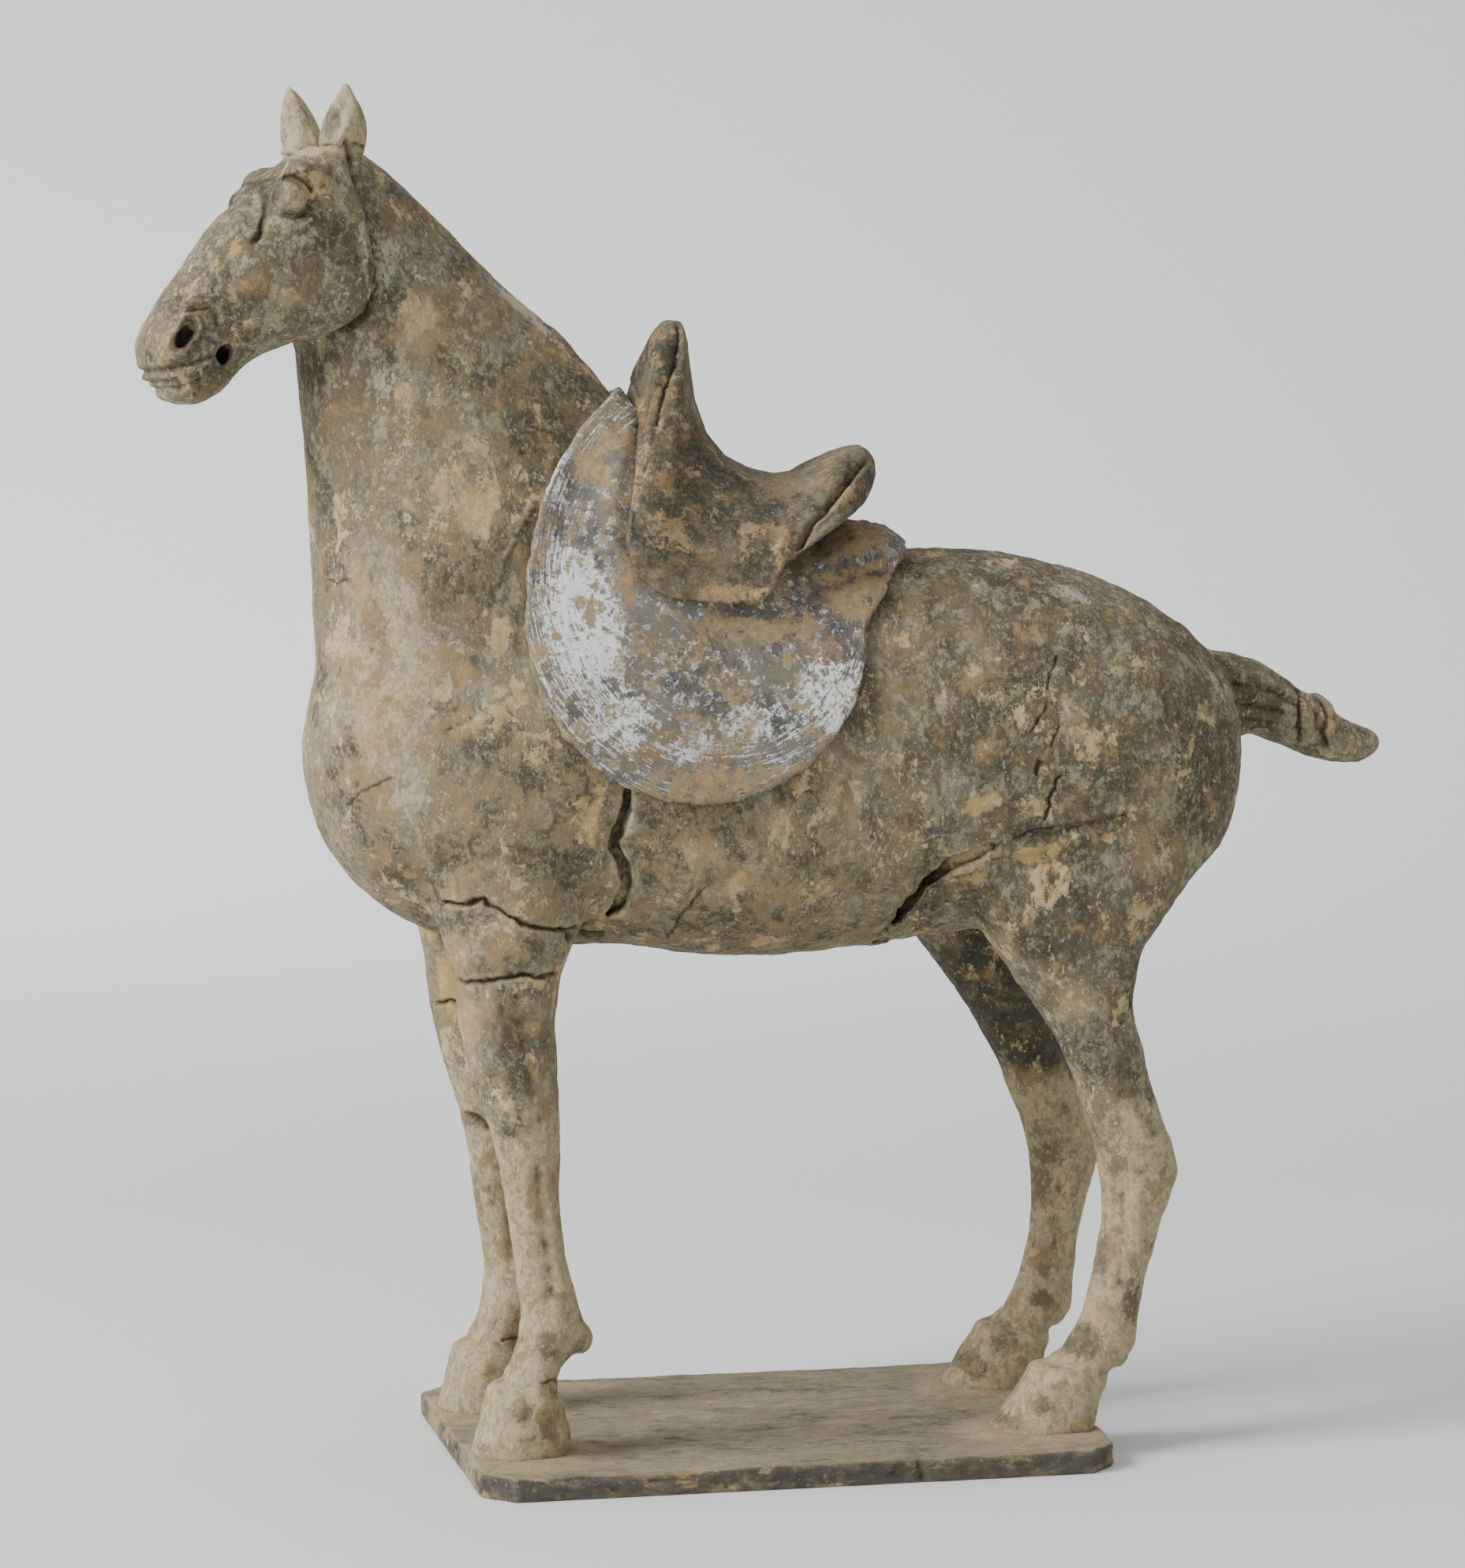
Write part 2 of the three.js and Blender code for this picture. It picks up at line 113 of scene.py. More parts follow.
HORSE_MIDDLE = (0, 0, 0.28)
WALL_BEHIND = (-0.2, 7.0, 1.1)
soft_box("soft_box_left", (-2.85, -0.75, 2.0), HORSE_MIDDLE, 1.5, 168)
soft_box("soft_box_right", (2.4, -2.4, 1.2), HORSE_MIDDLE, 2.0, 5)
soft_box("soft_box_above", (-0.3, 0.3, 3.2), HORSE_MIDDLE, 2.4, 26)
soft_box("soft_box_behind", (-0.6, 2.4, 3.4), WALL_BEHIND, 3.0, 185)
surround = bpy.data.worlds.new("even_surround")
surround.use_nodes = True
surround.node_tree.nodes["Background"].inputs["Color"].default_value = (0.93, 0.96, 1.0, 1)
surround.node_tree.nodes["Background"].inputs["Strength"].default_value = 0.62
bpy.context.scene.world = surround


# Clay slab: a hand-cut plate of grey clay with its corners cut off, uneven in thickness, with wet
# clay worked up round the hooves. Its underside stays flat.
def copy_of(node, name):
    bpy.ops.object.select_all(action="DESELECT")
    piece = bpy.data.objects.new(name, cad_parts[node].data.copy())
    bpy.context.scene.collection.objects.link(piece)
    piece.data.materials.clear()
    piece.select_set(True)
    bpy.context.view_layer.objects.active = piece
    bpy.ops.object.mode_set(mode="EDIT")
    bpy.ops.mesh.select_all(action="SELECT")
    bpy.ops.mesh.remove_doubles(threshold=0.00001)
    bpy.ops.object.mode_set(mode="OBJECT")
    return piece


def finish_with(piece, kind, **settings):
    modifier = piece.modifiers.new(kind.lower(), kind)
    for name, value in settings.items():
        setattr(modifier, name, value)
    bpy.context.view_layer.objects.active = piece
    bpy.ops.object.modifier_apply(modifier=modifier.name)


def points_of(piece):
    points = np.empty(3 * len(piece.data.vertices), np.float32)
    piece.data.vertices.foreach_get("co", points)
    return points.reshape(-1, 3).astype(float) * 1000


def normals_of(piece):
    normals = np.empty(3 * len(piece.data.vertices), np.float32)
    piece.data.vertex_normals.foreach_get("vector", normals)
    return normals.reshape(-1, 3).astype(float)


def move_points(piece, points):
    piece.data.vertices.foreach_set("co", (points / 1000).astype(np.float32).ravel())
    piece.data.update()


def soft_step(value, low, high):
    share = np.clip((value - low) / (high - low), 0, 1)
    return share * share * (3 - 2 * share)


def hand_noise(points, size, seed=0.0, octaves=3):
    """Uneven values from about -1 to 1, with lumps of that size in millimetres."""
    places = points / size + np.array([seed, 2 * seed, -seed])
    return np.array([noise.fractal(Vector(place), 0.8, 2.0, octaves) for place in places])


def trim_to(piece, triangles):
    piece.data.calc_loop_triangles()
    share = triangles / len(piece.data.loop_triangles)
    if share < 1:
        finish_with(piece, "DECIMATE", ratio=share, use_collapse_triangulate=True)


def layer(piece, name, values):
    """Keeps one value for each point of the piece, for its finish to read."""
    attribute = piece.data.attributes.new(name, "FLOAT", "POINT")
    attribute.data.foreach_set("value", np.clip(values, 0, 1).astype(np.float32))


HOOVES = [(-108, -51, 24), (-108, 39, 24), (108, -51, 26), (112, 39, 26)]  # x, y and reach in mm
CLAY_RISE = 2.2
MENDED_CRACK_X = 46
SLAB_GRID = 0.0014
SLAB_TRIANGLES = 90000
slab = copy_of("base_plate", "clay_slab")
finish_with(slab, "REMESH", mode="VOXEL", voxel_size=SLAB_GRID)
places = points_of(slab)
facing = normals_of(slab)
upward = soft_step(places[:, 2], 4, 9)
lump = 0.55 * hand_noise(places, 38, 3.1) + 0.25 * hand_noise(places, 9, 7.7)
places[:, 2] += upward * (lump - 0.4)
for hoof_x, hoof_y, reach in HOOVES:
    away = np.hypot((places[:, 0] - hoof_x) / 1.05, places[:, 1] - hoof_y)
    places[:, 2] += upward * CLAY_RISE * (1 - soft_step(away, reach - 4, reach + 9))
bare_side = 1 - np.abs(facing[:, 2])
layered = 0.5 * hand_noise(places * [0.12, 0.12, 1], 2.2, 2.2, 2)
worn = 0.9 * hand_noise(places, 16, 5.3) + 0.55 * hand_noise(places, 4, 1.2) + layered
places -= facing * (bare_side * np.clip(worn + 0.4, 0, 2.2))[:, None] * np.array([1, 1, 0])
crack = np.exp(-(((places[:, 0] - MENDED_CRACK_X + 0.25 * places[:, 2]) / 1.4) ** 2)) * (places[:, 1] < -85)
places -= facing * (1.6 * crack * bare_side)[:, None]
move_points(slab, places)
finish_with(slab, "SMOOTH", factor=0.5, iterations=2)
trim_to(slab, SLAB_TRIANGLES)
bpy.ops.object.shade_smooth()


def paint(red, green, blue):
    """A colour picked on the usual 0 to 255 scale, as the shader wants it."""
    shares = [value / 255 for value in (red, green, blue)]
    return (*[((share + 0.055) / 1.055) ** 2.4 for share in shares], 1)


def add_node(tree, kind, inputs=None, **settings):
    node = tree.nodes.new("ShaderNode" + kind)
    for name, value in settings.items():
        setattr(node, name, value)
    for name, value in (inputs or {}).items():
        if isinstance(value, bpy.types.NodeSocket):
            tree.links.new(value, node.inputs[name])
        else:
            node.inputs[name].default_value = value
    return node


GRAIN_CONTRAST = 2.6
DEEP_SHADE = (44, 37, 27)


def speckle(tree, places, size, octaves=4, rough=0.6, stretch=(1, 1, 1), shift=0.0):
    """Noise about 0.5 with grains of that size in millimetres, spread out to most of 0 to 1."""
    away = (shift, -shift, 2 * shift)
    moved = add_node(tree, "Mapping", {"Vector": places, "Scale": stretch, "Location": away})
    grains = {
        "Vector": moved.outputs[0], "Scale": 1000 / size, "Detail": octaves, "Roughness": rough,
        "Distortion": 0.25,
    }
    faint = add_node(tree, "TexNoise", grains).outputs["Fac"]
    return reckon(tree, "MULTIPLY_ADD", faint, GRAIN_CONTRAST, 0.5 - 0.5 * GRAIN_CONTRAST)


def between(tree, value, low, high):
    limits = {"Value": value, "From Min": low, "From Max": high}
    return add_node(tree, "MapRange", limits, interpolation_type="SMOOTHSTEP").outputs[0]


def reckon(tree, operation, *parts):
    return add_node(tree, "Math", dict(enumerate(parts)), operation=operation).outputs[0]


def coat(tree, share, under, over):
    """One colour over another, by a share from 0 to 1."""
    return add_node(tree, "Mix", {0: share, 6: under, 7: over}, data_type="RGBA").outputs[2]


def kept_layer(tree, name):
    return add_node(tree, "Attribute", attribute_name=name).outputs["Fac"]


def patchy(tree, name, grains, spread=1.5, middle=0.5, edge=0.1):
    """Where a layer kept on the mesh shows, broken up by grains about 0.5."""
    uneven = reckon(tree, "MULTIPLY", reckon(tree, "SUBTRACT", grains, 0.5), spread)
    return between(tree, reckon(tree, "ADD", kept_layer(tree, name), uneven), middle - edge, middle + edge)


def share_of(tree, value, amount):
    return reckon(tree, "MULTIPLY", value, amount)


def blend(tree, first, second, amount):
    """So much of the first and the rest of the second."""
    return reckon(tree, "ADD", share_of(tree, first, amount), share_of(tree, second, 1 - amount))


def fired_clay(name, palette, streak=(1, 1, 1), patch=18, brushed=False):
    """Grey fired clay with stains, burial earth, ochre soil and rests of slip over it."""
    finish = bpy.data.materials.new(name)
    finish.use_nodes = True
    tree = finish.node_tree
    shader = tree.nodes["Principled BSDF"]
    tones = {tone: paint(*shades) for tone, shades in palette.items()}
    places = add_node(tree, "TexCoord").outputs["Object"]
    broad = speckle(tree, places, 40, 5, 0.6, streak, 0.3)
    middling = speckle(tree, places, 12, 9, 0.72, streak, 1.1)
    ragged = speckle(tree, places, patch, 11, 0.74, streak, 2.3)
    flecks = speckle(tree, places, 3.2, 8, 0.78, streak, 3.7)
    grain = speckle(tree, places, 0.9, 4, 0.7, (1, 1, 1), 4.9)
    brush = speckle(tree, places, 1.6, 4, 0.6, (1, 1, 0.6), 5.7)
    if brushed:
        ring = kept_layer(tree, "ring")
        sweep = kept_layer(tree, "sweep")
        swept = add_node(tree, "CombineXYZ", {"X": ring, "Y": sweep}).outputs[0]
        lines = speckle(tree, swept, 1.2, 5, 0.65, (0.25, 0.04, 1), 6.1)
        near_edge = between(tree, ring, 0.42, 0.62)
        brush = reckon(tree, "MULTIPLY_ADD", reckon(tree, "SUBTRACT", lines, 0.5), near_edge, 0.5)

    # Clay body: two greys in clouds, fine mottling over them and a warm haze where it was rubbed
    colour = coat(tree, between(tree, broad, 0.36, 0.64), tones["dark"], tones["light"])
    colour = coat(tree, patchy(tree, "warm", middling, 1.5, 0.5, 0.4), colour, tones["warm"])
    bare = reckon(tree, "MULTIPLY_ADD", kept_layer(tree, "warm"), -0.7, 1)
    clouded = share_of(tree, between(tree, middling, 0.5, 0.66), 0.42)
    colour = coat(tree, reckon(tree, "MULTIPLY", clouded, bare), colour, tones["dark"])
    flecked = share_of(tree, between(tree, flecks, 0.52, 0.7), 0.45)
    colour = coat(tree, reckon(tree, "MULTIPLY", flecked, bare), colour, tones["smoke_and_shade"])
    colour = coat(tree, share_of(tree, between(tree, flecks, 0.5, 0.35), 0.4), colour, tones["warm"])
    colour = coat(tree, share_of(tree, between(tree, brush, 0.52, 0.7), 0.25), colour, tones["dark"])
    smoked_and_shaded = patchy(tree, "smoke_and_shade", blend(tree, middling, flecks, 0.7), 1.9, 0.52, 0.3)
    colour = coat(tree, share_of(tree, smoked_and_shaded, 0.78), colour, tones["smoke_and_shade"])

    # Burial earth: a thin haze first, then crumbs that still stick to it
    hazy = patchy(tree, "earth", blend(tree, middling, flecks, 0.6), 2.0, 0.5, 0.26)
    colour = coat(tree, share_of(tree, hazy, 0.55), colour, tones["earth"])
    crumbs = patchy(tree, "earth", blend(tree, ragged, flecks, 0.75), 3.0, 0.74, 0.05)
    crumb_tone = coat(tree, between(tree, flecks, 0.38, 0.62), tones["earth"], tones["warm"])
    colour = coat(tree, share_of(tree, crumbs, 0.72), colour, crumb_tone)
    ochrous = patchy(tree, "ochre", blend(tree, ragged, flecks, 0.75), 2.4, 0.56, 0.07)
    colour = coat(tree, share_of(tree, ochrous, 0.72), colour, tones["ochre"])

    # Slip: a brushed white coat, worn through in flecks and along the strokes
    worn = blend(tree, blend(tree, ragged, brush, 0.5), flecks, 0.62)
    slipped = patchy(tree, "slip", worn, 3.4, 0.58, 0.17)
    colour = coat(tree, share_of(tree, slipped, 0.88 if brushed else 0.5), colour, tones["slip"])
    crusted = patchy(tree, "crust", blend(tree, ragged, flecks, 0.7), 2.6, 0.6, 0.08)
    colour = coat(tree, crusted, colour, crumb_tone)
    colour = coat(tree, share_of(tree, kept_layer(tree, "edge"), 0.35), colour, tones["warm"])
    # Painted shade, with some dirt, darkens the hollows, the cracks and the carved lid lines
    colour = coat(tree, share_of(tree, kept_layer(tree, "hollow"), 0.86), colour, paint(*DEEP_SHADE))
    tree.links.new(colour, shader.inputs["Base Color"])
    shader.inputs["Roughness"].default_value = 0.88
    shader.inputs["Specular IOR Level"].default_value = 0.22
    skin = blend(tree, blend(tree, flecks, grain, 0.65), middling, 0.55)
    coats = blend(tree, crumbs, slipped, 0.6)
    relief = blend(tree, blend(tree, skin, coats, 0.82), brush, 0.88)
    bump = add_node(tree, "Bump", {"Height": relief, "Strength": 0.7, "Distance": 0.0014})
    tree.links.new(bump.outputs[0], shader.inputs["Normal"])
    return finish


LAYER_NAMES = ("warm", "earth", "ochre", "slip", "smoke_and_shade", "crust")


def blank_layers(piece):
    return {name: np.zeros(len(piece.data.vertices)) for name in LAYER_NAMES}


def cavity_layers(piece, share=1.0, reach=2, strength=0.3):
    """Hollow and edge: how far each point lies under or over the mean of the points around it. The hollow
    layer is painted shade, with some dirt, in creases and hollows.
    """
    points = points_of(piece)
    normals = normals_of(piece)
    ends = np.empty(2 * len(piece.data.edges), np.int32)
    piece.data.edges.foreach_get("vertices", ends)
    first, second = ends.reshape(-1, 2).T
    count = np.bincount(np.concatenate([first, second]), minlength=len(points))
    around = points
    for step in range(reach):
        total = np.zeros_like(points)
        for axis in range(3):
            total[:, axis] = np.bincount(first, around[second, axis], len(points))
            total[:, axis] += np.bincount(second, around[first, axis], len(points))
        around = total / np.maximum(count, 1)[:, None]
    over = ((around - points) * normals).sum(1)
    layer(piece, "hollow", share * soft_step(over, 0.25 * strength, 1.8 * strength))
    layer(piece, "edge", soft_step(-over, 0.25 * strength, 1.8 * strength))


def keep_layers(piece, layers):
    for name, values in layers.items():
        layer(piece, name, values)


slab_layers = blank_layers(slab)
places = points_of(slab)
# Darker on the sides, paler and warmer on the top, by the way each face points
top = soft_step(normals_of(slab)[:, 2], 0.5, 0.9)
slab_layers["warm"][:] = 0.2 + 0.3 * top
slab_layers["smoke_and_shade"] += 1.0 - 0.72 * top
slab_layers["earth"] += 0.22 + 0.04 * top
slab_layers["ochre"] += 0.26 * (1 - top)
for hoof_x, hoof_y, reach in HOOVES:
    away = np.hypot(places[:, 0] - hoof_x, places[:, 1] - hoof_y)
    slab_layers["warm"] += 0.6 * (1 - soft_step(away, reach, reach + 16))
    slab_layers["smoke_and_shade"] *= soft_step(away, reach - 6, reach + 14) * 0.8 + 0.2
keep_layers(slab, slab_layers)
cavity_layers(slab)
slab.data.materials.append(fired_clay("slab_clay", {
    "light": (142, 134, 116), "dark": (100, 96, 86), "warm": (166, 150, 120), "earth": (166, 144, 108),
    "ochre": (172, 145, 96), "slip": (176, 172, 160), "smoke_and_shade": (64, 62, 58),
}, (0.5, 1, 1)))
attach(slab, "root")
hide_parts("base_plate")


# Horse: one hollow body of grey clay, pressed in moulds in halves, luted along the spine and worked
# over with a knife and a wet brush. Head, legs and knotted tail are of the same clay.
def head_view(points):
    """Places as they were before the head turned to the left."""
    x = points[:, 0] - POLL_X
    y = points[:, 1] - MEDIAN_Y
    turned_x = x * math.cos(HEAD_TURN) + y * math.sin(HEAD_TURN) + POLL_X
    turned_y = y * math.cos(HEAD_TURN) - x * math.sin(HEAD_TURN)
    return np.stack([turned_x, turned_y, points[:, 2]], 1)


def turned_with_head(moves):
    """Moves in the directions that the head had before it turned, as the turned head needs them."""
    return np.stack([
        moves[:, 0] * math.cos(HEAD_TURN) - moves[:, 1] * math.sin(HEAD_TURN),
        moves[:, 0] * math.sin(HEAD_TURN) + moves[:, 1] * math.cos(HEAD_TURN),
        moves[:, 2],
    ], 1)


def head_share(points):
    """1 on the head, 0 on the neck and below."""
    return soft_step(-head_view(points)[:, 0], 158, 166) * soft_step(points[:, 2], 418, 428)


def line_reach(x, z, line):
    """Distance from each place to a line in the side view, and how far along the line it is."""
    best = np.full(len(x), 1e9)
    share = np.zeros(len(x))
    for at in range(len(line) - 1):
        (x1, z1), (x2, z2) = line[at], line[at + 1]
        run_x, run_z = x2 - x1, z2 - z1
        along = np.clip(((x - x1) * run_x + (z - z1) * run_z) / (run_x ** 2 + run_z ** 2), 0, 1)
        distance = np.hypot(x - x1 - along * run_x, z - z1 - along * run_z)
        closer = distance < best
        best[closer] = distance[closer]
        share[closer] = ((at + along) / (len(line) - 1))[closer]
    return best, share


def stroke(x, z, line, width, ends=0.12):
    """1 on a given line and 0 past its width, fading at its two ends."""
    distance, share = line_reach(x, z, line)
    fade = soft_step(share, -0.01, ends) * soft_step(1 - share, -0.01, ends)
    return np.exp(-((distance / width) ** 2)) * fade


def spot(x, z, centre_x, centre_z, radius_x, radius_z, lean=0.0):
    """1 in the middle of an oval in the side view and 0 at its rim and beyond."""
    turn = math.radians(lean)
    across = (x - centre_x) * math.cos(turn) + (z - centre_z) * math.sin(turn)
    up = (z - centre_z) * math.cos(turn) - (x - centre_x) * math.sin(turn)
    return 1 - soft_step(np.hypot(across / radius_x, up / radius_z), 0.2, 1)


def soften(piece, strength, rounds):
    """Smooths the piece, most where strength is 1 and not at all where it is 0."""
    group = piece.vertex_groups.new(name="softness")
    levels = np.round(np.clip(strength, 0, 1) * 40).astype(int)
    for level in range(1, 41):
        members = np.nonzero(levels == level)[0]
        if len(members):
            group.add(members.tolist(), level / 40, "REPLACE")
    finish_with(piece, "SMOOTH", factor=0.5, iterations=rounds, vertex_group="softness")
    piece.vertex_groups.remove(piece.vertex_groups["softness"])


def refine(piece, chosen, cuts=1):
    """Cuts the faces between the chosen points finer, for carving."""
    mesh = piece.data
    corners = np.empty(len(mesh.loops), np.int32)
    mesh.loops.foreach_get("vertex_index", corners)
    starts = np.empty(len(mesh.polygons), np.int32)
    mesh.polygons.foreach_get("loop_start", starts)
    ends = np.empty(2 * len(mesh.edges), np.int32)
    mesh.edges.foreach_get("vertices", ends)
    mesh.vertices.foreach_set("select", chosen)
    mesh.edges.foreach_set("select", chosen[ends].reshape(-1, 2).all(1))
    mesh.polygons.foreach_set("select", np.logical_and.reduceat(chosen[corners], starts))
    bpy.context.view_layer.objects.active = piece
    bpy.ops.object.mode_set(mode="EDIT")
    bpy.ops.mesh.subdivide(number_cuts=cuts, smoothness=0)
    bpy.ops.object.mode_set(mode="OBJECT")


def smooth_shaded(piece):
    bpy.ops.object.select_all(action="DESELECT")
    piece.select_set(True)
    bpy.context.view_layer.objects.active = piece
    bpy.ops.object.shade_smooth()


POLL_X, MEDIAN_Y = -165, -6
EYE_PLACE = np.array([-203.2, 20.8, 504.0])
EYE_RADII = np.array([7.0, 7.4, 7.0])
HEAD_TURN = math.radians(18)
SHOULDER_GAP = [(-66, 290), (-67, 273), (-69, 262), (-72, 253), (-66, 240), (-66, 229), (-74, 219)]
FLANK_GAP = [(44, 212), (50, 221), (57, 234), (66, 242), (77, 247), (90, 252)]
NEAR_SIDE_Y = -15
HORSE_GRID = 0.0014
HORSE_TRIANGLES = 197000

# Cracks of the body: side (-1 left, 1 right, 0 both), line, width and depth in millimetres
CRACKS = [
    (-1, [(-139, 229), (-133, 230), (-123, 231.5), (-117, 227.5), (-105, 221), (-87, 218.5)], 0.75, 2.8),
    (-1, [(-92, 219), (-83, 218), (-74, 220)], 0.75, 2.8),
    (-1, [(-90, 216), (-80, 214), (-70, 213)], 1.6, 3.0),
    (1, [(-139, 232), (-126, 229), (-112, 226), (-96, 219), (-78, 222)], 0.8, 2.0),
    (-1, [(-136, 201), (-130, 199), (-122, 200), (-109, 202.5), (-100, 201), (-92, 202)], 0.8, 2.4),
    (1, [(-136, 180), (-124, 183), (-110, 179), (-96, 184)], 0.8, 2.0),
    (1, [(-124, 139), (-116, 135), (-108, 130), (-98, 128)], 1.2, 1.8),
    (-1, [(109, 326), (105, 319), (102, 312)], 0.45, 0.9),
    (-1, [(104, 308), (101, 302), (96, 295)], 0.45, 0.8),
    (-1, [(108, 298), (105, 293), (103, 289)], 0.5, 0.9),
    (-1, [(100, 285), (98, 278)], 0.9, 1.4),
    (-1, [(108, 278), (104, 269), (102.5, 259)], 0.55, 1.6),
    (-1, [(90, 252), (98, 255), (108, 257)], 0.6, 0.5),
    (-1, [(-34, 236), (-43, 222), (-45, 212)], 0.5, 0.35),
    (-1, [(43, 211), (50, 221), (57, 233), (63, 240)], 1.1, 4.0),
    (-1, [(-186, 354.5), (-181, 356), (-176, 355), (-172.5, 357.5)], 0.5, 0.5),
    (-1, [(-176, 268), (-167, 275), (-158, 280)], 0.5, 0.3),
    (1, [(70, 262), (88, 258), (104, 262)], 0.8, 1.8),
    (1, [(20, 300), (26, 288), (24, 276)], 0.6, 1.3),
    (0, [(-103, 40), (-96, 41), (-89, 39)], 0.7, 0.9),
]
ear_crack = [(-190, 524.5), (-184, 524), (-177, 525), (-171, 524.5)]

horse = copy_of("horse", "clay_horse")
finish_with(horse, "REMESH", mode="VOXEL", voxel_size=HORSE_GRID)
places = points_of(horse)
x, y, z = places.T
head = soft_step(-x, 150, 178) * soft_step(z, 418, 445)
strength = 1 - 0.8 * head
strength *= 1 - 0.62 * (1 - soft_step(z, 165, 225))
strength *= 1 - 0.6 * (1 - soft_step(z, 45, 70))
strength *= 1 - 0.75 * soft_step(z, 520, 532) * head
strength *= 1 - 0.75 * soft_step(x, 195, 215)
for gap in (SHOULDER_GAP, FLANK_GAP):
    strength *= np.where(y < NEAR_SIDE_Y, soft_step(line_reach(x, z, gap)[0], 3.5, 12), 1)
soften(horse, strength, 95)

# The eye region is rubbed down first, since lids, brow and ball are carved anew
places = points_of(horse)
from_eye = np.hypot(*(head_view(places)[:, [0, 2]] - [EYE_PLACE[0] - 2, EYE_PLACE[2] + 4]).T)
soften(horse, head_share(places) * (1 - soft_step(from_eye, 13, 19)), 130)

# Finer mesh on the head and along the cracks
places = points_of(horse)
refine(horse, (head_view(places)[:, 0] < -164) & (places[:, 2] > 420))
places = points_of(horse)
hand = np.sign(places[:, 1] - MEDIAN_Y)
on_crack = np.zeros(len(places), bool)
for side, line, width, depth in CRACKS:
    on_side = (hand == side) | (side == 0)
    on_crack |= on_side & (line_reach(places[:, 0], places[:, 2], line)[0] < 3.2)
refine(horse, on_crack)

places = points_of(horse)
facing = normals_of(horse)
x, y, z = places.T
face_x, face_y, _ = head_view(places).T
on_head = head_share(places)
turned_facing = head_view(facing + [POLL_X, MEDIAN_Y, 0])
sideways = soft_step(np.abs(turned_facing[:, 1]), 0.04, 0.3)
face = on_head * sideways

# Carved lines of the face, the same on both sides: line, width and rise in millimetres
TEAR_LINE = [(-207.5, 512), (-210.2, 507), (-211, 502), (-212, 497), (-215.4, 491), (-220, 485)]
LID_LINE = [(-210, 509), (-207, 512), (-202, 512.6), (-197, 510.5), (-193.5, 506.5)]
FACE_LINES = [
    (TEAR_LINE, 1.1, -2.6),
    (LID_LINE, 1.1, -2.4),
    ([(-210.6, 500), (-207.5, 497), (-203.2, 496), (-198.4, 497.8), (-195.6, 502.5)], 1.0, -1.5),
    ([(-209, 492.5), (-202, 492.3), (-196, 497)], 1.6, 0.8),
    ([(-197, 520), (-193.5, 514), (-190, 508)], 2.4, -1.2),
    ([(-190, 494), (-203, 484), (-217, 473), (-231, 463)], 6.0, 0.9),
    ([(-192, 480), (-206, 470), (-222, 460)], 6.0, -0.7),
    ([(-246, 458), (-244, 461), (-240.3, 463.5), (-235.7, 464), (-231.5, 460), (-231, 454)], 1.2, 1.0),
    ([(-244, 458.5), (-240.5, 460.5), (-236.3, 461), (-233.6, 458), (-233, 453)], 0.8, -0.9),
    ([(-243, 467), (-239, 469.5), (-234, 467.5)], 1.2, 1.1),
    ([(-227, 452), (-222, 448), (-219, 449)], 0.9, 1.0),
    ([(-226, 455.5), (-220, 452.5), (-216, 453)], 0.9, -0.9),
    ([(-223, 441), (-216, 444.5), (-209, 447)], 1.6, 0.9),
    ([(-240.5, 434), (-238.5, 431), (-240.5, 427.5)], 0.9, -1.2),
    ([(-243, 425), (-236, 426.5), (-229, 431), (-225, 436)], 2.4, 1.0),
    (ear_crack, 0.8, -1.6),
]
LIP_LINES = [
    ([(-264, 436.5), (-253, 437), (-249, 438), (-240, 441), (-232, 443.5)], 1.1, -1.8),
    ([(-264, 434.7), (-252, 435), (-246, 435.6), (-240, 439), (-234, 441.5)], 1.2, 1.2),
    ([(-264, 432.4), (-252, 432.6), (-246, 433), (-240, 436.6), (-235, 440)], 1.0, -1.5),
    ([(-264, 429.6), (-252, 429.8), (-247, 430), (-243, 431.6), (-238, 433.6)], 1.1, -2.1),
    ([(-264, 426.4), (-250, 426.6), (-246, 427.4), (-240, 430.4)], 1.8, 1.1),
    ([(-264, 439.5), (-252, 440), (-246, 441.5), (-240, 445)], 1.8, 0.9),
]

# The eye lies in a socket, and the brow hangs over it like a fold, lower on the right. The corner of
# the head in front of the eye is rubbed off. Round the eye all forms are pushed straight sideways, so
# that the head keeps its outline.
BROW = [(-206, 512.5), (-202, 515), (-197, 515.5), (-192.5, 513), (-189.5, 508.5)]
CORNER = [(-211.5, 508), (-213.5, 502), (-216, 496), (-219.5, 490)]
outer = on_head * soft_step(np.abs(face_y), 8, 15)
rise = 3.4 * stroke(face_x, z, BROW, 3.2, 0.25) * outer * np.where(face_y < 0, 1, 0.45)
rise -= 2.4 * stroke(face_x, z, CORNER, 4.0, 0.3) * face
rise -= 2.6 * spot(face_x, z, EYE_PLACE[0] + 0.5, EYE_PLACE[2] - 1, 11, 10) * face
for line, width, height in FACE_LINES:
    rise += height * stroke(face_x, z, line, width) * face
for line, width, height in LIP_LINES:
    rise += 0.72 * height * stroke(face_x, z, line, width) * on_head
hand = np.sign(face_y)
outwards = turned_with_head(np.stack([0 * hand, hand, 0 * hand], 1))
by_eye = np.minimum(1, 2 * spot(face_x, z, -207, 503, 17, 19))[:, None]
places += (facing * (1 - by_eye) + outwards * by_eye) * rise[:, None]

# Eyeball: pushed out as a ball of its own, inside the lids
mirrored = np.stack([np.ones(len(hand)), hand, np.ones(len(hand))], 1)
offset = head_view(places) - EYE_PLACE * mirrored
depth = np.sqrt(((offset / EYE_RADII) ** 2).sum(1))
inside = (depth < 1) & (depth > 0.05) & (on_head > 0.5)
pushed = offset * (1 / np.maximum(depth, 0.05) - 1)[:, None] * inside[:, None]
places += turned_with_head(pushed)

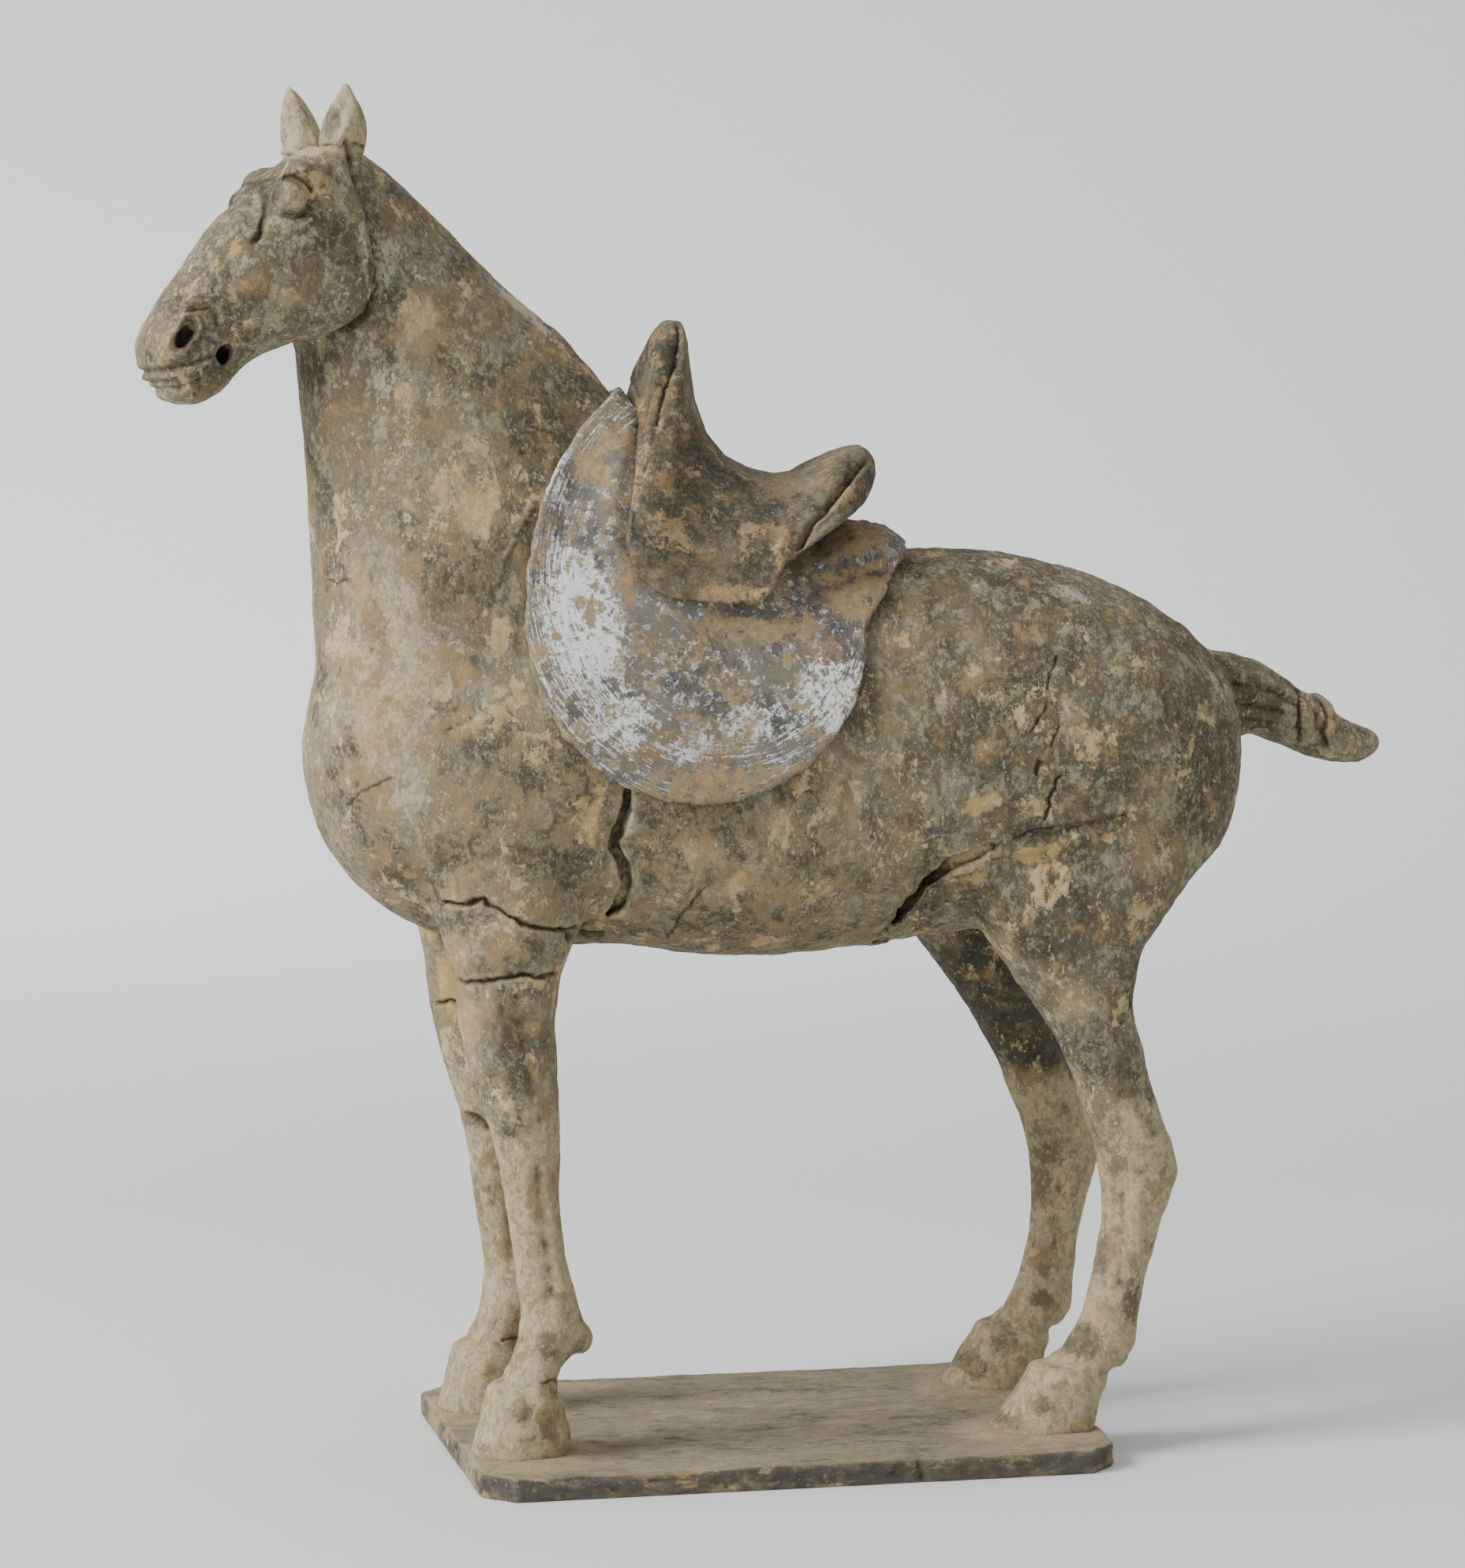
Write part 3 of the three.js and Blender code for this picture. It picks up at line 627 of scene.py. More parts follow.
# Nostrils and corners of the mouth: place, radii, lean in degrees, depth and height of the rim
FACE_HOLES = [((-245.8, 450.3), (5.8, 3.0), 58, 3.7, 1.9), ((-229, 443.5), (2.9, 4.2), -12, 5.6, 0.5)]
for (hole_x, hole_z), (wide, tall), lean, deep, rim in FACE_HOLES:
    turn = math.radians(lean)
    across = (face_x - hole_x) * math.cos(turn) + (z - hole_z) * math.sin(turn)
    up = (z - hole_z) * math.cos(turn) - (face_x - hole_x) * math.sin(turn)
    away = np.hypot(across / wide, up / tall)
    places -= facing * (deep * (1 - soft_step(away, 0.5, 1.0)) * face)[:, None]
    places += facing * (rim * np.exp(-(((away - 1.4) / 0.33) ** 2)) * face)[:, None]

# Ears: hollow towards the front, with a ridge from tip to base behind the hollow
EAR_RIDGE = [(-181, 549), (-178.5, 539), (-176, 529), (-173.5, 521)]
EAR_FOOT = 519
EAR_GROWTH = 0.09
EAR_LEAN = 0.05
hollow = spot(face_x, z, -185, 534, 4.2, 12, -22) * soft_step(z, 520, 524)
places -= facing * (1.5 * hollow * face)[:, None]
places += facing * (0.9 * stroke(face_x, z, EAR_RIDGE, 1.3) * soft_step(z, 520, 524) * face)[:, None]
above_foot = np.maximum(places[:, 2] - EAR_FOOT, 0) * on_head
places[:, 0] -= EAR_LEAN * above_foot
places[:, 2] += EAR_GROWTH * above_foot

# Cheek disc: the face stands over the neck along a crisp rear edge, with a crack behind it
CHEEK_EDGE = [
    (-184, 528), (-178, 516), (-175.5, 509), (-173.5, 502), (-172, 493), (-171.5, 486), (-171, 477),
    (-173, 467), (-176, 460), (-182, 455), (-190, 451),
]
behind = stroke(face_x - 1.4, z, CHEEK_EDGE, 1.4, 0.03) * soft_step(z, 440, 446)
before = stroke(face_x + 3.2, z, CHEEK_EDGE, 2.4, 0.03) * face
places += facing * (1.0 * before - 3.6 * behind * sideways)[:, None]
move_points(horse, places)

# Lines worked into the body: side, line, width and rise in millimetres
BODY_LINES = [
    (0, [(90, 252), (105, 254), (127, 260), (140, 263)], 2.0, -1.2),
    (0, [(88, 246), (105, 249), (127, 255)], 3.0, 1.0),
    (0, [(-150, 510), (-137, 498), (-124, 486), (-110, 472), (-97, 460), (-85, 448)], 1.6, -1.0),
    (0, [(-147, 513), (-133, 501), (-120, 489), (-106, 475), (-93, 463)], 2.2, 0.7),
    (0, [(-170, 440), (-166, 400), (-163, 360), (-158, 325)], 5.0, -1.0),
    (0, [(-158, 440), (-152, 400), (-148, 360), (-146, 325)], 7.0, 0.9),
    (-1, [(-100, 390), (-107, 378), (-114, 366), (-119, 350)], 0.8, 0.8),
    (-1, [(-140, 297), (-128, 303), (-115, 312)], 0.6, -0.6),
    (-1, [(-150, 262), (-138, 250), (-126, 244)], 0.6, -0.5),
    (0, [(172, 322), (179, 315), (186, 305), (190, 292), (192, 280)], 2.4, 1.3),
    (0, [(178, 322), (185, 314), (191, 303), (195, 290), (197, 280)], 1.6, -1.2),
    (0, [(198, 325), (214, 319), (231, 308)], 1.2, -0.9),
    (0, [(196, 313), (213, 310), (230, 302)], 1.1, -0.9),
    (0, [(195, 305), (213, 302), (229, 298)], 1.1, -0.9),
    (0, [(195, 299), (214, 296), (229, 293)], 1.0, -0.7),
    (0, [(197, 319), (213, 314.5), (229, 305)], 1.6, 0.8),
    (0, [(231, 314), (229, 304), (228, 294), (229, 286)], 1.1, -2.4),
    (0, [(236, 314), (234, 304), (233, 294), (235, 286)], 2.2, 1.6),
    (0, [(238, 306), (240, 298), (238, 291), (241, 284)], 0.9, -1.8),
    (0, [(243, 305), (245, 297), (240, 290)], 1.6, 1.0),
    (0, [(-103, 130), (-100, 100), (-97, 70)], 2.2, -1.1),
    (0, [(-99, 128), (-95, 100), (-91, 72)], 2.4, 0.8),
    (0, [(-121, 200), (-118, 170), (-112, 146)], 3.0, 1.3),
    (0, [(-112, 200), (-108, 172), (-104, 152)], 3.0, -1.3),
    (0, [(-104, 196), (-101, 172), (-98, 152)], 2.4, 0.9),
    (0, [(138, 110), (138, 90), (136, 66)], 2.0, -1.2),
    (0, [(144, 112), (145, 90), (143, 66)], 2.0, 0.9),
    (0, [(122, 150), (132, 132), (143, 116)], 3.5, 1.0),
    (0, [(140, 160), (146, 142), (152, 128)], 2.8, -1.1),
]
places = points_of(horse)
facing = normals_of(horse)
x, y, z = places.T
sideways = soft_step(np.abs(facing[:, 1]), 0.15, 0.5) * (z < 540) * (1 - on_head)
hand = np.sign(y - MEDIAN_Y)
shake_x = 1.3 * hand_noise(places, 6, 31.0, 2)
shake_z = 1.3 * hand_noise(places, 6, 57.0, 2)
rise = np.zeros(len(places))
for side, line, width, height in BODY_LINES:
    on_line = stroke(x + 0.4 * shake_x, z + 0.4 * shake_z, line, width) * (side * hand >= 0)
    rise += height * on_line * sideways
groove_shade = np.zeros(len(places))
for side, line, width, depth in CRACKS:
    cut = stroke(x + shake_x, z + shake_z, line, width, 0.06) * (side * hand >= 0) * sideways
    groove_shade = np.maximum(groove_shade, cut)
    rise -= depth * cut

# Muscles and bones under the skin: place, radii, lean and rise
BODY_FORMS = [
    ((-112, 262), (34, 44), 20, 1.6),
    ((-92, 312), (22, 52), -30, 1.0),
    ((150, 262), (40, 50), 25, 1.5),
    ((118, 345), (24, 16), -15, 0.8),
    ((20, 262), (60, 34), 0, -0.8),
    ((58, 225), (16, 14), 40, -1.6),
    ((-112, 148), (12, 13), 0, 1.0),
    ((-98, 60), (12, 12), 0, 0.8),
    ((150, 125), (12, 14), 0, 0.9),
    ((-111, 31), (5, 5), 0, 1.3),
]
for (form_x, form_z), (wide, tall), lean, height in BODY_FORMS:
    rise += height * spot(x, z, form_x, form_z, wide, tall, lean) * sideways

# Edge of each hoof under the pastern, and the spine groove behind the saddle
for hoof_x, hoof_y, reach in HOOVES:
    close = np.hypot(x - hoof_x, y - hoof_y) < 36
    lean = 0.22 * (x - hoof_x)
    rise -= 0.8 * np.exp(-(((z - 39 + lean) / 1.6) ** 2)) * close
    rise += 0.8 * np.exp(-(((z - 34 + lean) / 2.4) ** 2)) * close
on_spine = soft_step(facing[:, 2], 0.6, 0.9) * (x > 40) * (x < 185)
rise -= 1.3 * np.exp(-(((y - MEDIAN_Y) / 2.2) ** 2)) * on_spine

# The clay is uneven, knife-flattened and pitted all over
PIT_COUNT = 110
knobs = 0.6 * hand_noise(places, 24, 0.7) + 0.3 * hand_noise(places, 8, 4.4)
knobs += 0.3 * hand_noise(places * [1, 1, 0.2], 7, 6.6, 2)
knobs += 0.12 * hand_noise(places, 3, 8.1, 2)
rise += knobs * (1 - 0.5 * on_head)
dice = np.random.default_rng(20)
for pit in places[dice.integers(0, len(places), PIT_COUNT)]:
    size = dice.uniform(0.9, 2.4)
    close = np.abs(places - pit).max(1) < 3 * size
    away = np.linalg.norm(places[close] - pit, axis=1) / size
    rise[close] -= 0.4 * size * np.exp(-(away ** 2)) * (pit[2] < 430)
places += facing * rise[:, None]

# Both breaks have ragged lips, and soil lies a little below their edges: where the skin runs
# from one end of the gap to the other (y by z or by x), and how deep the soil lies there
in_gap = np.zeros(len(places))
on_left = places[:, 1] < NEAR_SIDE_Y
for gap in (SHOULDER_GAP, FLANK_GAP):
    lip = np.where(on_left, 1 - soft_step(line_reach(x, z, gap)[0], 3, 8), 0)
    places[:, 0] += 0.9 * lip * shake_x
    places[:, 2] += 0.9 * lip * shake_z
soil_lumps = 1.4 * hand_noise(places, 3.2, 12.0, 3)
x, y, z = places.T
skin = np.interp(z, [219, 222, 230, 240, 255, 274, 290], [-40, -42, -54, -60, -64, -66, -66])
reach = line_reach(x, z, SHOULDER_GAP)[0]
inside = on_left & (reach < 6) & (y > skin + 2.5)
places[:, 1] = np.where(inside, np.minimum(y, skin + 10 + soil_lumps), places[:, 1])
in_gap = np.where(inside, 0.3, in_gap)
skin = np.interp(x, [44, 50, 56, 63, 72, 81, 91], [-40, -44, -52, -57, -59, -62, -63])
soil = np.interp(x, [44, 60, 67, 74, 92], [16, 14, 5.5, 4.5, 3.5])
reach = line_reach(x, z, FLANK_GAP)[0]
inside = on_left & (reach < 6) & (y > skin + 1.5)
places[:, 1] = np.where(inside, np.minimum(y, skin + soil + soil_lumps), places[:, 1])
in_gap = np.where(inside, soft_step(x, 60, 70), in_gap)
move_points(horse, places)
layer(horse, "soil", in_gap)
face_x, _, face_z = head_view(places).T
# Painted shade along the cracks and the tear and lid grooves, kept for the finish to darken
lid_groove_shade = np.maximum(stroke(face_x, face_z, TEAR_LINE, 1.0), stroke(face_x, face_z, LID_LINE, 0.8))
layer(horse, "groove_shade", np.maximum(groove_shade, 0.9 * lid_groove_shade * on_head))
finish_with(horse, "SMOOTH", factor=0.3, iterations=1)
trim_to(horse, HORSE_TRIANGLES)
smooth_shaded(horse)

# What lies on the clay, with painted shade on the far legs among the smoke stains: side (-1 left,
# 1 right, 0 both), place in the side view, radii, lean in degrees and strength. The right flank gets
# the left one's stains, shifted a little, because the photograph does not show it.
BODY_STAINS = {
    "earth": [
        (0, (-144, 457), (17, 22), 15, 0.8), (0, (-124, 382), (17, 19), 0, 0.75),
        (0, (-169, 357), (8, 28), 0, 0.7), (0, (-139, 321), (26, 26), 20, 0.55),
        (0, (-129, 301), (15, 14), 0, 0.65), (0, (-127, 257), (14, 18), 0, 0.45),
        (0, (-46, 246), (36, 18), 0, 0.55), (0, (4, 232), (42, 14), 0, 0.55),
        (0, (76, 323), (22, 28), 0, 0.45), (0, (113, 301), (10, 13), 0, 0.55),
        (0, (88, 205), (12, 20), 30, 0.5), (-1, (-132, 212), (8, 14), 0, 0.8),
        (-1, (-129, 182), (7, 20), 0, 0.85), (0, (117, 186), (14, 16), 0, 0.6),
        (0, (150, 250), (24, 32), 0, 0.45), (0, (-166, 300), (12, 30), 0, 0.55),
        (0, (-134, 236), (6, 14), 0, 0.6),
    ],
    "ochre": [
        (0, (77, 267), (15, 5), 22, 0.85), (0, (97, 246), (23, 6), 14, 0.9),
        (0, (78, 236), (11, 5), 20, 0.7), (0, (92, 281), (5, 9), 0, 0.65),
        (0, (129, 253), (6, 4), 0, 0.7), (0, (-82, 267), (8, 26), 0, 0.6),
        (0, (48, 320), (10, 10), 0, 0.5), (0, (-20, 242), (44, 18), 0, 0.42),
        (0, (-126, 214), (20, 8), 0, 0.6), (-1, (124, 58), (4, 6), 0, 0.6),
        (1, (-125, 188), (10, 26), 0, 0.8), (0, (-120, 385), (12, 12), 0, 0.35),
    ],
    "slip": [
        (0, (-156, 482), (9, 22), -10, 0.6), (0, (-160, 436), (7, 15), 0, 0.6),
        (0, (-152, 273), (12, 20), 0, 0.68), (0, (-98, 462), (34, 4), -42, 0.8),
        (0, (122, 349), (13, 5), -20, 0.8), (0, (181, 312), (3, 16), 20, 0.7),
        (0, (-151, 332), (15, 18), 0, 0.42), (0, (-168, 300), (5, 11), 0, 0.55),
        (0, (-125, 310), (6, 14), -15, 0.5), (-1, (-105, 38), (6, 3), 0, 0.8),
        (-1, (115, 20), (8, 5), 0, 0.6), (1, (-119, 17), (5, 4), 0, 0.7),
        (1, (-106, 60), (3, 9), 0, 0.6), (-1, (-100, 92), (2, 12), 0, 0.55),
        (0, (-66, 262), (2, 12), 0, 0.8),
    ],
    "smoke_and_shade": [
        (0, (-185, 438), (11, 15), 0, 0.85), (0, (-101, 416), (26, 23), 25, 0.72),
        (0, (-191, 405), (8, 32), 0, 0.6), (0, (-176, 398), (6, 34), 0, 0.5),
        (0, (-140, 405), (26, 34), 20, 0.42), (0, (106, 232), (17, 14), 0, 0.9),
        (0, (-155, 240), (17, 12), 0, 0.75), (0, (-112, 250), (24, 10), 0, 0.55),
        (0, (26, 307), (20, 42), 0, 0.75), (0, (48, 284), (20, 20), 0, 0.7),
        (0, (86, 356), (19, 7), -20, 0.92), (0, (91, 267), (11, 8), 0, 0.85),
        (0, (111, 218), (27, 36), -12, 0.95), (0, (85, 220), (8, 10), 0, 0.5),
        (-1, (-110, 172), (26, 30), 0, 0.72), (0, (100, 173), (10, 14), 0, 0.65),
        (0, (116, 166), (17, 10), 0, 0.7), (0, (131, 84), (4, 26), 0, 0.8),
        (0, (125, 145), (8, 10), 0, 0.5), (-1, (121, 47), (13, 12), 0, 0.95),
        (-1, (104, 24), (11, 9), 0, 0.8), (-1, (91, 15), (10, 6), 0, 0.8),
        (-1, (-98, 55), (10, 12), 0, 0.9), (-1, (-111, 31), (8, 8), 0, 0.9),
        (-1, (-101, 24), (6, 11), 0, 0.9), (-1, (-117, 120), (8, 16), 0, 0.6),
        (1, (113, 33), (13, 10), 0, 0.9), (1, (131, 49), (9, 9), 0, 0.95),
        (1, (132, 62), (6, 15), 0, 0.7), (1, (101, 21), (10, 9), 0, 0.85),
        (1, (-114, 132), (9, 8), 0, 0.7), (1, (-116, 160), (11, 18), 0, 0.7),
        (0, (60, 345), (9, 20), 0, 0.75), (0, (-60, 232), (18, 9), 0, 0.5),
        (0, (155, 322), (26, 24), 0, 0.55), (0, (215, 306), (32, 12), -18, 0.75),
        (0, (-118, 425), (34, 52), 20, 0.52), (0, (120, 232), (26, 40), -15, 0.6),
        (0, (60, 300), (14, 50), 0, 0.6),
        # Painted shade: the right-side ovals at (137, 105) and (-112, 95) darken the far hind and fore legs
        (1, (137, 105), (22, 56), 0, 0.66), (-1, (128, 132), (20, 28), 0, 0.62),
        (1, (-112, 95), (9, 44), 0, 0.55), (-1, (142, 66), (8, 26), 0, 0.85),
        (-1, (150, 140), (6, 22), 0, 0.7), (-1, (137, 118), (8, 11), 0, 0.6),
    ],
    "warm": [
        (0, (-160, 320), (34, 100), 0, 0.75), (0, (-135, 400), (44, 70), 0, 0.5),
        (0, (-30, 240), (60, 26), 0, 0.45), (0, (150, 262), (22, 44), 0, 0.5),
        (0, (70, 212), (11, 26), 0, 0.6),
    ],
}
FACE_STAINS = {
    "earth": [
        ((-209, 466), (8, 10), 10, 0.5), ((-226, 469), (12, 9), 0, 0.35), ((-190, 500), (6, 10), 0, 0.4),
    ],
    "ochre": [
        ((-227, 482), (14, 4), 50, 0.6), ((-253, 446), (4, 12), 0, 0.6), ((-214, 497), (5, 5), 0, 0.4),
    ],
    "smoke_and_shade": [
        ((-190, 487), (8, 6), 30, 0.7), ((-198, 458), (16, 10), 0, 0.6), ((-236, 470), (10, 10), 40, 0.5),
        ((-176, 524), (3, 3), 0, 1.0), ((-216, 452), (12, 8), 0, 0.45),
    ],
    "warm": [
        ((-252, 450), (9, 20), 0, 0.5), ((-203.4, 504), (8, 8), 0, 1.0), ((-186, 474), (12, 18), 0, 0.35),
    ],
    "slip": [
        ((-176, 486), (3, 24), 0, 0.45), ((-203.4, 504), (7, 7), 0, 0.55), ((-184, 532), (7, 14), 0, 0.5),
    ],
}


RIGHT_SHIFT = 9


def lay_stains(piece, layers, stains):
    points = points_of(piece)
    x, y, z = points.T
    on_left = y < MEDIAN_Y
    for name, spots in stains.items():
        for side, (stain_x, stain_z), (wide, tall), lean, amount in spots:
            shown_x = x if side else np.where(on_left, x, x + RIGHT_SHIFT)
            allowed = 1 if side == 0 else (on_left if side < 0 else ~on_left)
            share = amount * spot(shown_x, z, stain_x, stain_z, wide, tall, lean) * allowed
            layers[name] = np.maximum(layers[name], share)


places = points_of(horse)
facing = normals_of(horse)
x, y, z = places.T
face_x = head_view(places)[:, 0]
on_head = soft_step(-face_x, 158, 172) * soft_step(z, 420, 432)
uneven = 12 * hand_noise(places, 18, 2.2, 3)
shanks = 1 - soft_step(z + uneven, 138, 156)
hind = soft_step(x, 20, 90) * (1 - shanks)
layers = blank_layers(horse)
# Base levels by region: darker on the hindquarters, the head and up the neck, paler and warmer on the
# shanks
layers["warm"] = 0.2 - 0.14 * hind - 0.1 * on_head + 0.62 * shanks
layers["earth"] = 0.3 - 0.08 * hind - 0.12 * on_head - 0.04 * shanks
layers["smoke_and_shade"] = 0.34 + 0.2 * hind + 0.14 * on_head - 0.02 * shanks
layers["smoke_and_shade"] += 0.14 * soft_step(z, 310, 350) * (1 - on_head) * soft_step(-x, 20, 60)
layers["slip"] += 0.05 - 0.05 * on_head
layers["ochre"] += 0.1 + 0.08 * hind - 0.06 * shanks
lay_stains(horse, layers, BODY_STAINS)
for name, spots in FACE_STAINS.items():
    for (stain_x, stain_z), (wide, tall), lean, amount in spots:
        share = amount * spot(face_x, z, stain_x, stain_z, wide, tall, lean) * on_head
        layers[name] = np.maximum(layers[name], share)
ears = on_head * soft_step(z, 518, 524)
layers["warm"] = np.maximum(layers["warm"], 0.7 * ears)
layers["smoke_and_shade"] *= 1 - 0.6 * ears

# The right hind leg is burnt dark down to a sharp edge above its hock
burnt = (y > MEDIAN_Y) * (x > 60) * soft_step(z + 0.2 * uneven, 149, 152) * (1 - soft_step(z, 196, 216))
layers["smoke_and_shade"] = np.maximum(layers["smoke_and_shade"], 0.95 * burnt)
layers["earth"] *= 1 - 0.5 * burnt


def read_layer(piece, name):
    values = np.empty(len(piece.data.vertices), np.float32)
    piece.data.attributes[name].data.foreach_get("value", values)
    return values


soil = read_layer(horse, "soil").astype(float)
layers["crust"] = np.maximum(0.12, 0.8 * soil)
keep_layers(horse, layers)
# Painted shade, with some dirt, in the hollows (less where soil fills the gaps) and along the cracks and
# lid grooves
cavity_layers(horse, 1 - 0.5 * soil)
hollow = np.maximum(read_layer(horse, "hollow"), read_layer(horse, "groove_shade"))
horse.data.attributes["hollow"].data.foreach_set("value", hollow)
horse.data.materials.append(fired_clay("horse_clay", {
    "light": (130, 122, 100), "dark": (88, 83, 67), "warm": (190, 171, 136), "earth": (180, 150, 106),
    "ochre": (186, 156, 94), "slip": (202, 198, 186), "smoke_and_shade": (52, 51, 46),
}, (1, 1, 0.8)))
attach(horse, "root")
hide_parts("horse")

# Saddle cloth: a thick felt cloth of clay, laid over the back before the saddle, with a padded roll
# behind it. White slip was brushed on along its edge; half of it is under tan earth.
CLOTH_LINES = [
    ([(4, 357), (23, 364), (40, 367), (59, 369)], 5, 1.8),
    ([(8, 350), (24, 356), (40, 359), (57, 361)], 2.0, -1.0),
    ([(-56, 427), (-66, 402), (-72, 382), (-72, 364)], 4.0, 1.7),
]
CLOTH_GRID = 0.0012
CLOTH_TRIANGLES = 150000


def cloth_rim(facing, z):
    """1 on the cut edge round the lower part of the cloth and 0 on its broad faces."""
    return (1 - soft_step(np.abs(facing[:, 1]), 0.45, 0.85)) * (1 - soft_step(z, 385, 405))


cloth = copy_of("saddle_cloth", "clay_saddle_cloth")
finish_with(cloth, "REMESH", mode="VOXEL", voxel_size=CLOTH_GRID)
soften(cloth, np.full(len(cloth.data.vertices), 0.35), 20)
places = points_of(cloth)
facing = normals_of(cloth)
x, y, z = places.T
sideways = soft_step(np.abs(facing[:, 1]), 0.2, 0.5)
rise = 0.45 * hand_noise(places, 26, 6.0) + 0.2 * hand_noise(places, 6, 2.9) + 0.3
for line, width, height in CLOTH_LINES:
    rise += height * stroke(x, z, line, width) * sideways
rise += cloth_rim(facing, z) * 0.8 * hand_noise(places, 5, 8.8)
move_points(cloth, places + facing * rise[:, None])
trim_to(cloth, CLOTH_TRIANGLES)
smooth_shaded(cloth)
CLOTH_MIDDLE_X, CLOTH_MIDDLE_Z = -27, 352
CLOTH_STAINS = {
    "slip": [
        (0, (-86, 340), (30, 56), 8, 0.93), (0, (-72, 302), (26, 26), 0, 0.8),
        (0, (-45, 290), (26, 15), 0, 0.6), (0, (16, 310), (30, 30), 30, 0.8),
        (0, (-15, 300), (36, 20), 0, 0.62), (0, (-92, 395), (9, 20), 0, 0.65),
    ],
    "crust": [
        (0, (-72, 404), (28, 18), 40, 0.82), (0, (-38, 276), (56, 15), 0, 0.76),
        (0, (-18, 336), (50, 12), 0, 0.78), (0, (32, 352), (34, 20), 0, 1.0),
        (0, (46, 318), (8, 38), -14, 0.6), (0, (-66, 362), (6, 30), 0, 0.75),
        (0, (5, 288), (16, 20), 0, 0.48), (0, (28, 374), (34, 16), 0, 1.0),
    ],
    "smoke_and_shade": [
        (0, (-8, 300), (26, 17), 0, 0.75), (0, (-99, 310), (8, 38), 15, 0.55),
        (0, (20, 322), (14, 12), 0, 0.6), (0, (-76, 345), (9, 13), 0, 0.55),
        (0, (-60, 318), (8, 8), 0, 0.5),
    ],
}
places = points_of(cloth)
facing = normals_of(cloth)
x, y, z = places.T
across = (x - CLOTH_MIDDLE_X) / np.where(x < CLOTH_MIDDLE_X, 81, 73)
up = (z - CLOTH_MIDDLE_Z) / np.where(z < CLOTH_MIDDLE_Z, 82, 92)
rim = cloth_rim(facing, z)
layers = blank_layers(cloth)
layers["warm"] += 0.25
layers["earth"] += 0.4
layers["slip"] += 0.4
layers["smoke_and_shade"] += 0.4
layers["ochre"] += 0.06
layers["crust"] += 0.32
lay_stains(cloth, layers, CLOTH_STAINS)
layers["crust"] = np.maximum(layers["crust"], 0.62 * rim)
layers["slip"] *= 1 - 0.5 * rim
keep_layers(cloth, layers)
layer(cloth, "ring", np.hypot(across, up) / 1.4)
layer(cloth, "sweep", np.arctan2(up, across) / (2 * math.pi) + 0.5)
cavity_layers(cloth)
cloth.data.materials.append(fired_clay("cloth_slip", {
    "light": (114, 112, 105), "dark": (77, 79, 83), "warm": (150, 135, 108), "earth": (180, 150, 108),
    "ochre": (180, 148, 98), "slip": (240, 241, 241), "smoke_and_shade": (57, 60, 67),
}, patch=9, brushed=True))
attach(cloth, "root")
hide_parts("saddle_cloth")

# Saddle: a high pommel with a band over its front, a cantle that leans back, and short flaps, all
# modelled in dark clay, rubbed smooth. The cantle's upper sheet has come apart from its rim.
SADDLE_LINES = [
    ([(-35, 460), (-38, 449), (-44, 434), (-48, 426), (-51, 416)], 1.0, -2.2),
    ([(-51, 418), (-57, 401), (-62, 388), (-64, 374)], 1.3, -1.2),
    ([(-42, 452), (-46, 444), (-50, 437)], 2.6, 1.0),
    ([(-53, 438.5), (-50, 435), (-46, 433)], 1.0, -2.0),
    ([(-31, 458), (-34, 448), (-40, 433), (-44, 424)], 2.0, 0.8),
    ([(-62, 372), (-60, 360), (-53, 351), (-44, 347)], 2.4, 0.9),
    ([(-4, 357), (1, 366), (9, 379), (20, 389.5), (31, 400), (38, 404)], 1.3, -3.6),
    ([(-8, 360), (-3, 370), (5, 383), (17, 394), (29, 404)], 2.2, 1.2),
    ([(-20, 347), (-10, 349), (-3, 356)], 2.2, 1.2),
    ([(42, 398), (36, 391), (18, 382), (6, 371)], 1.6, -1.2),
]
SADDLE_GRID = 0.0009
SADDLE_TRIANGLES = 150000
saddle = copy_of("saddle", "clay_saddle")
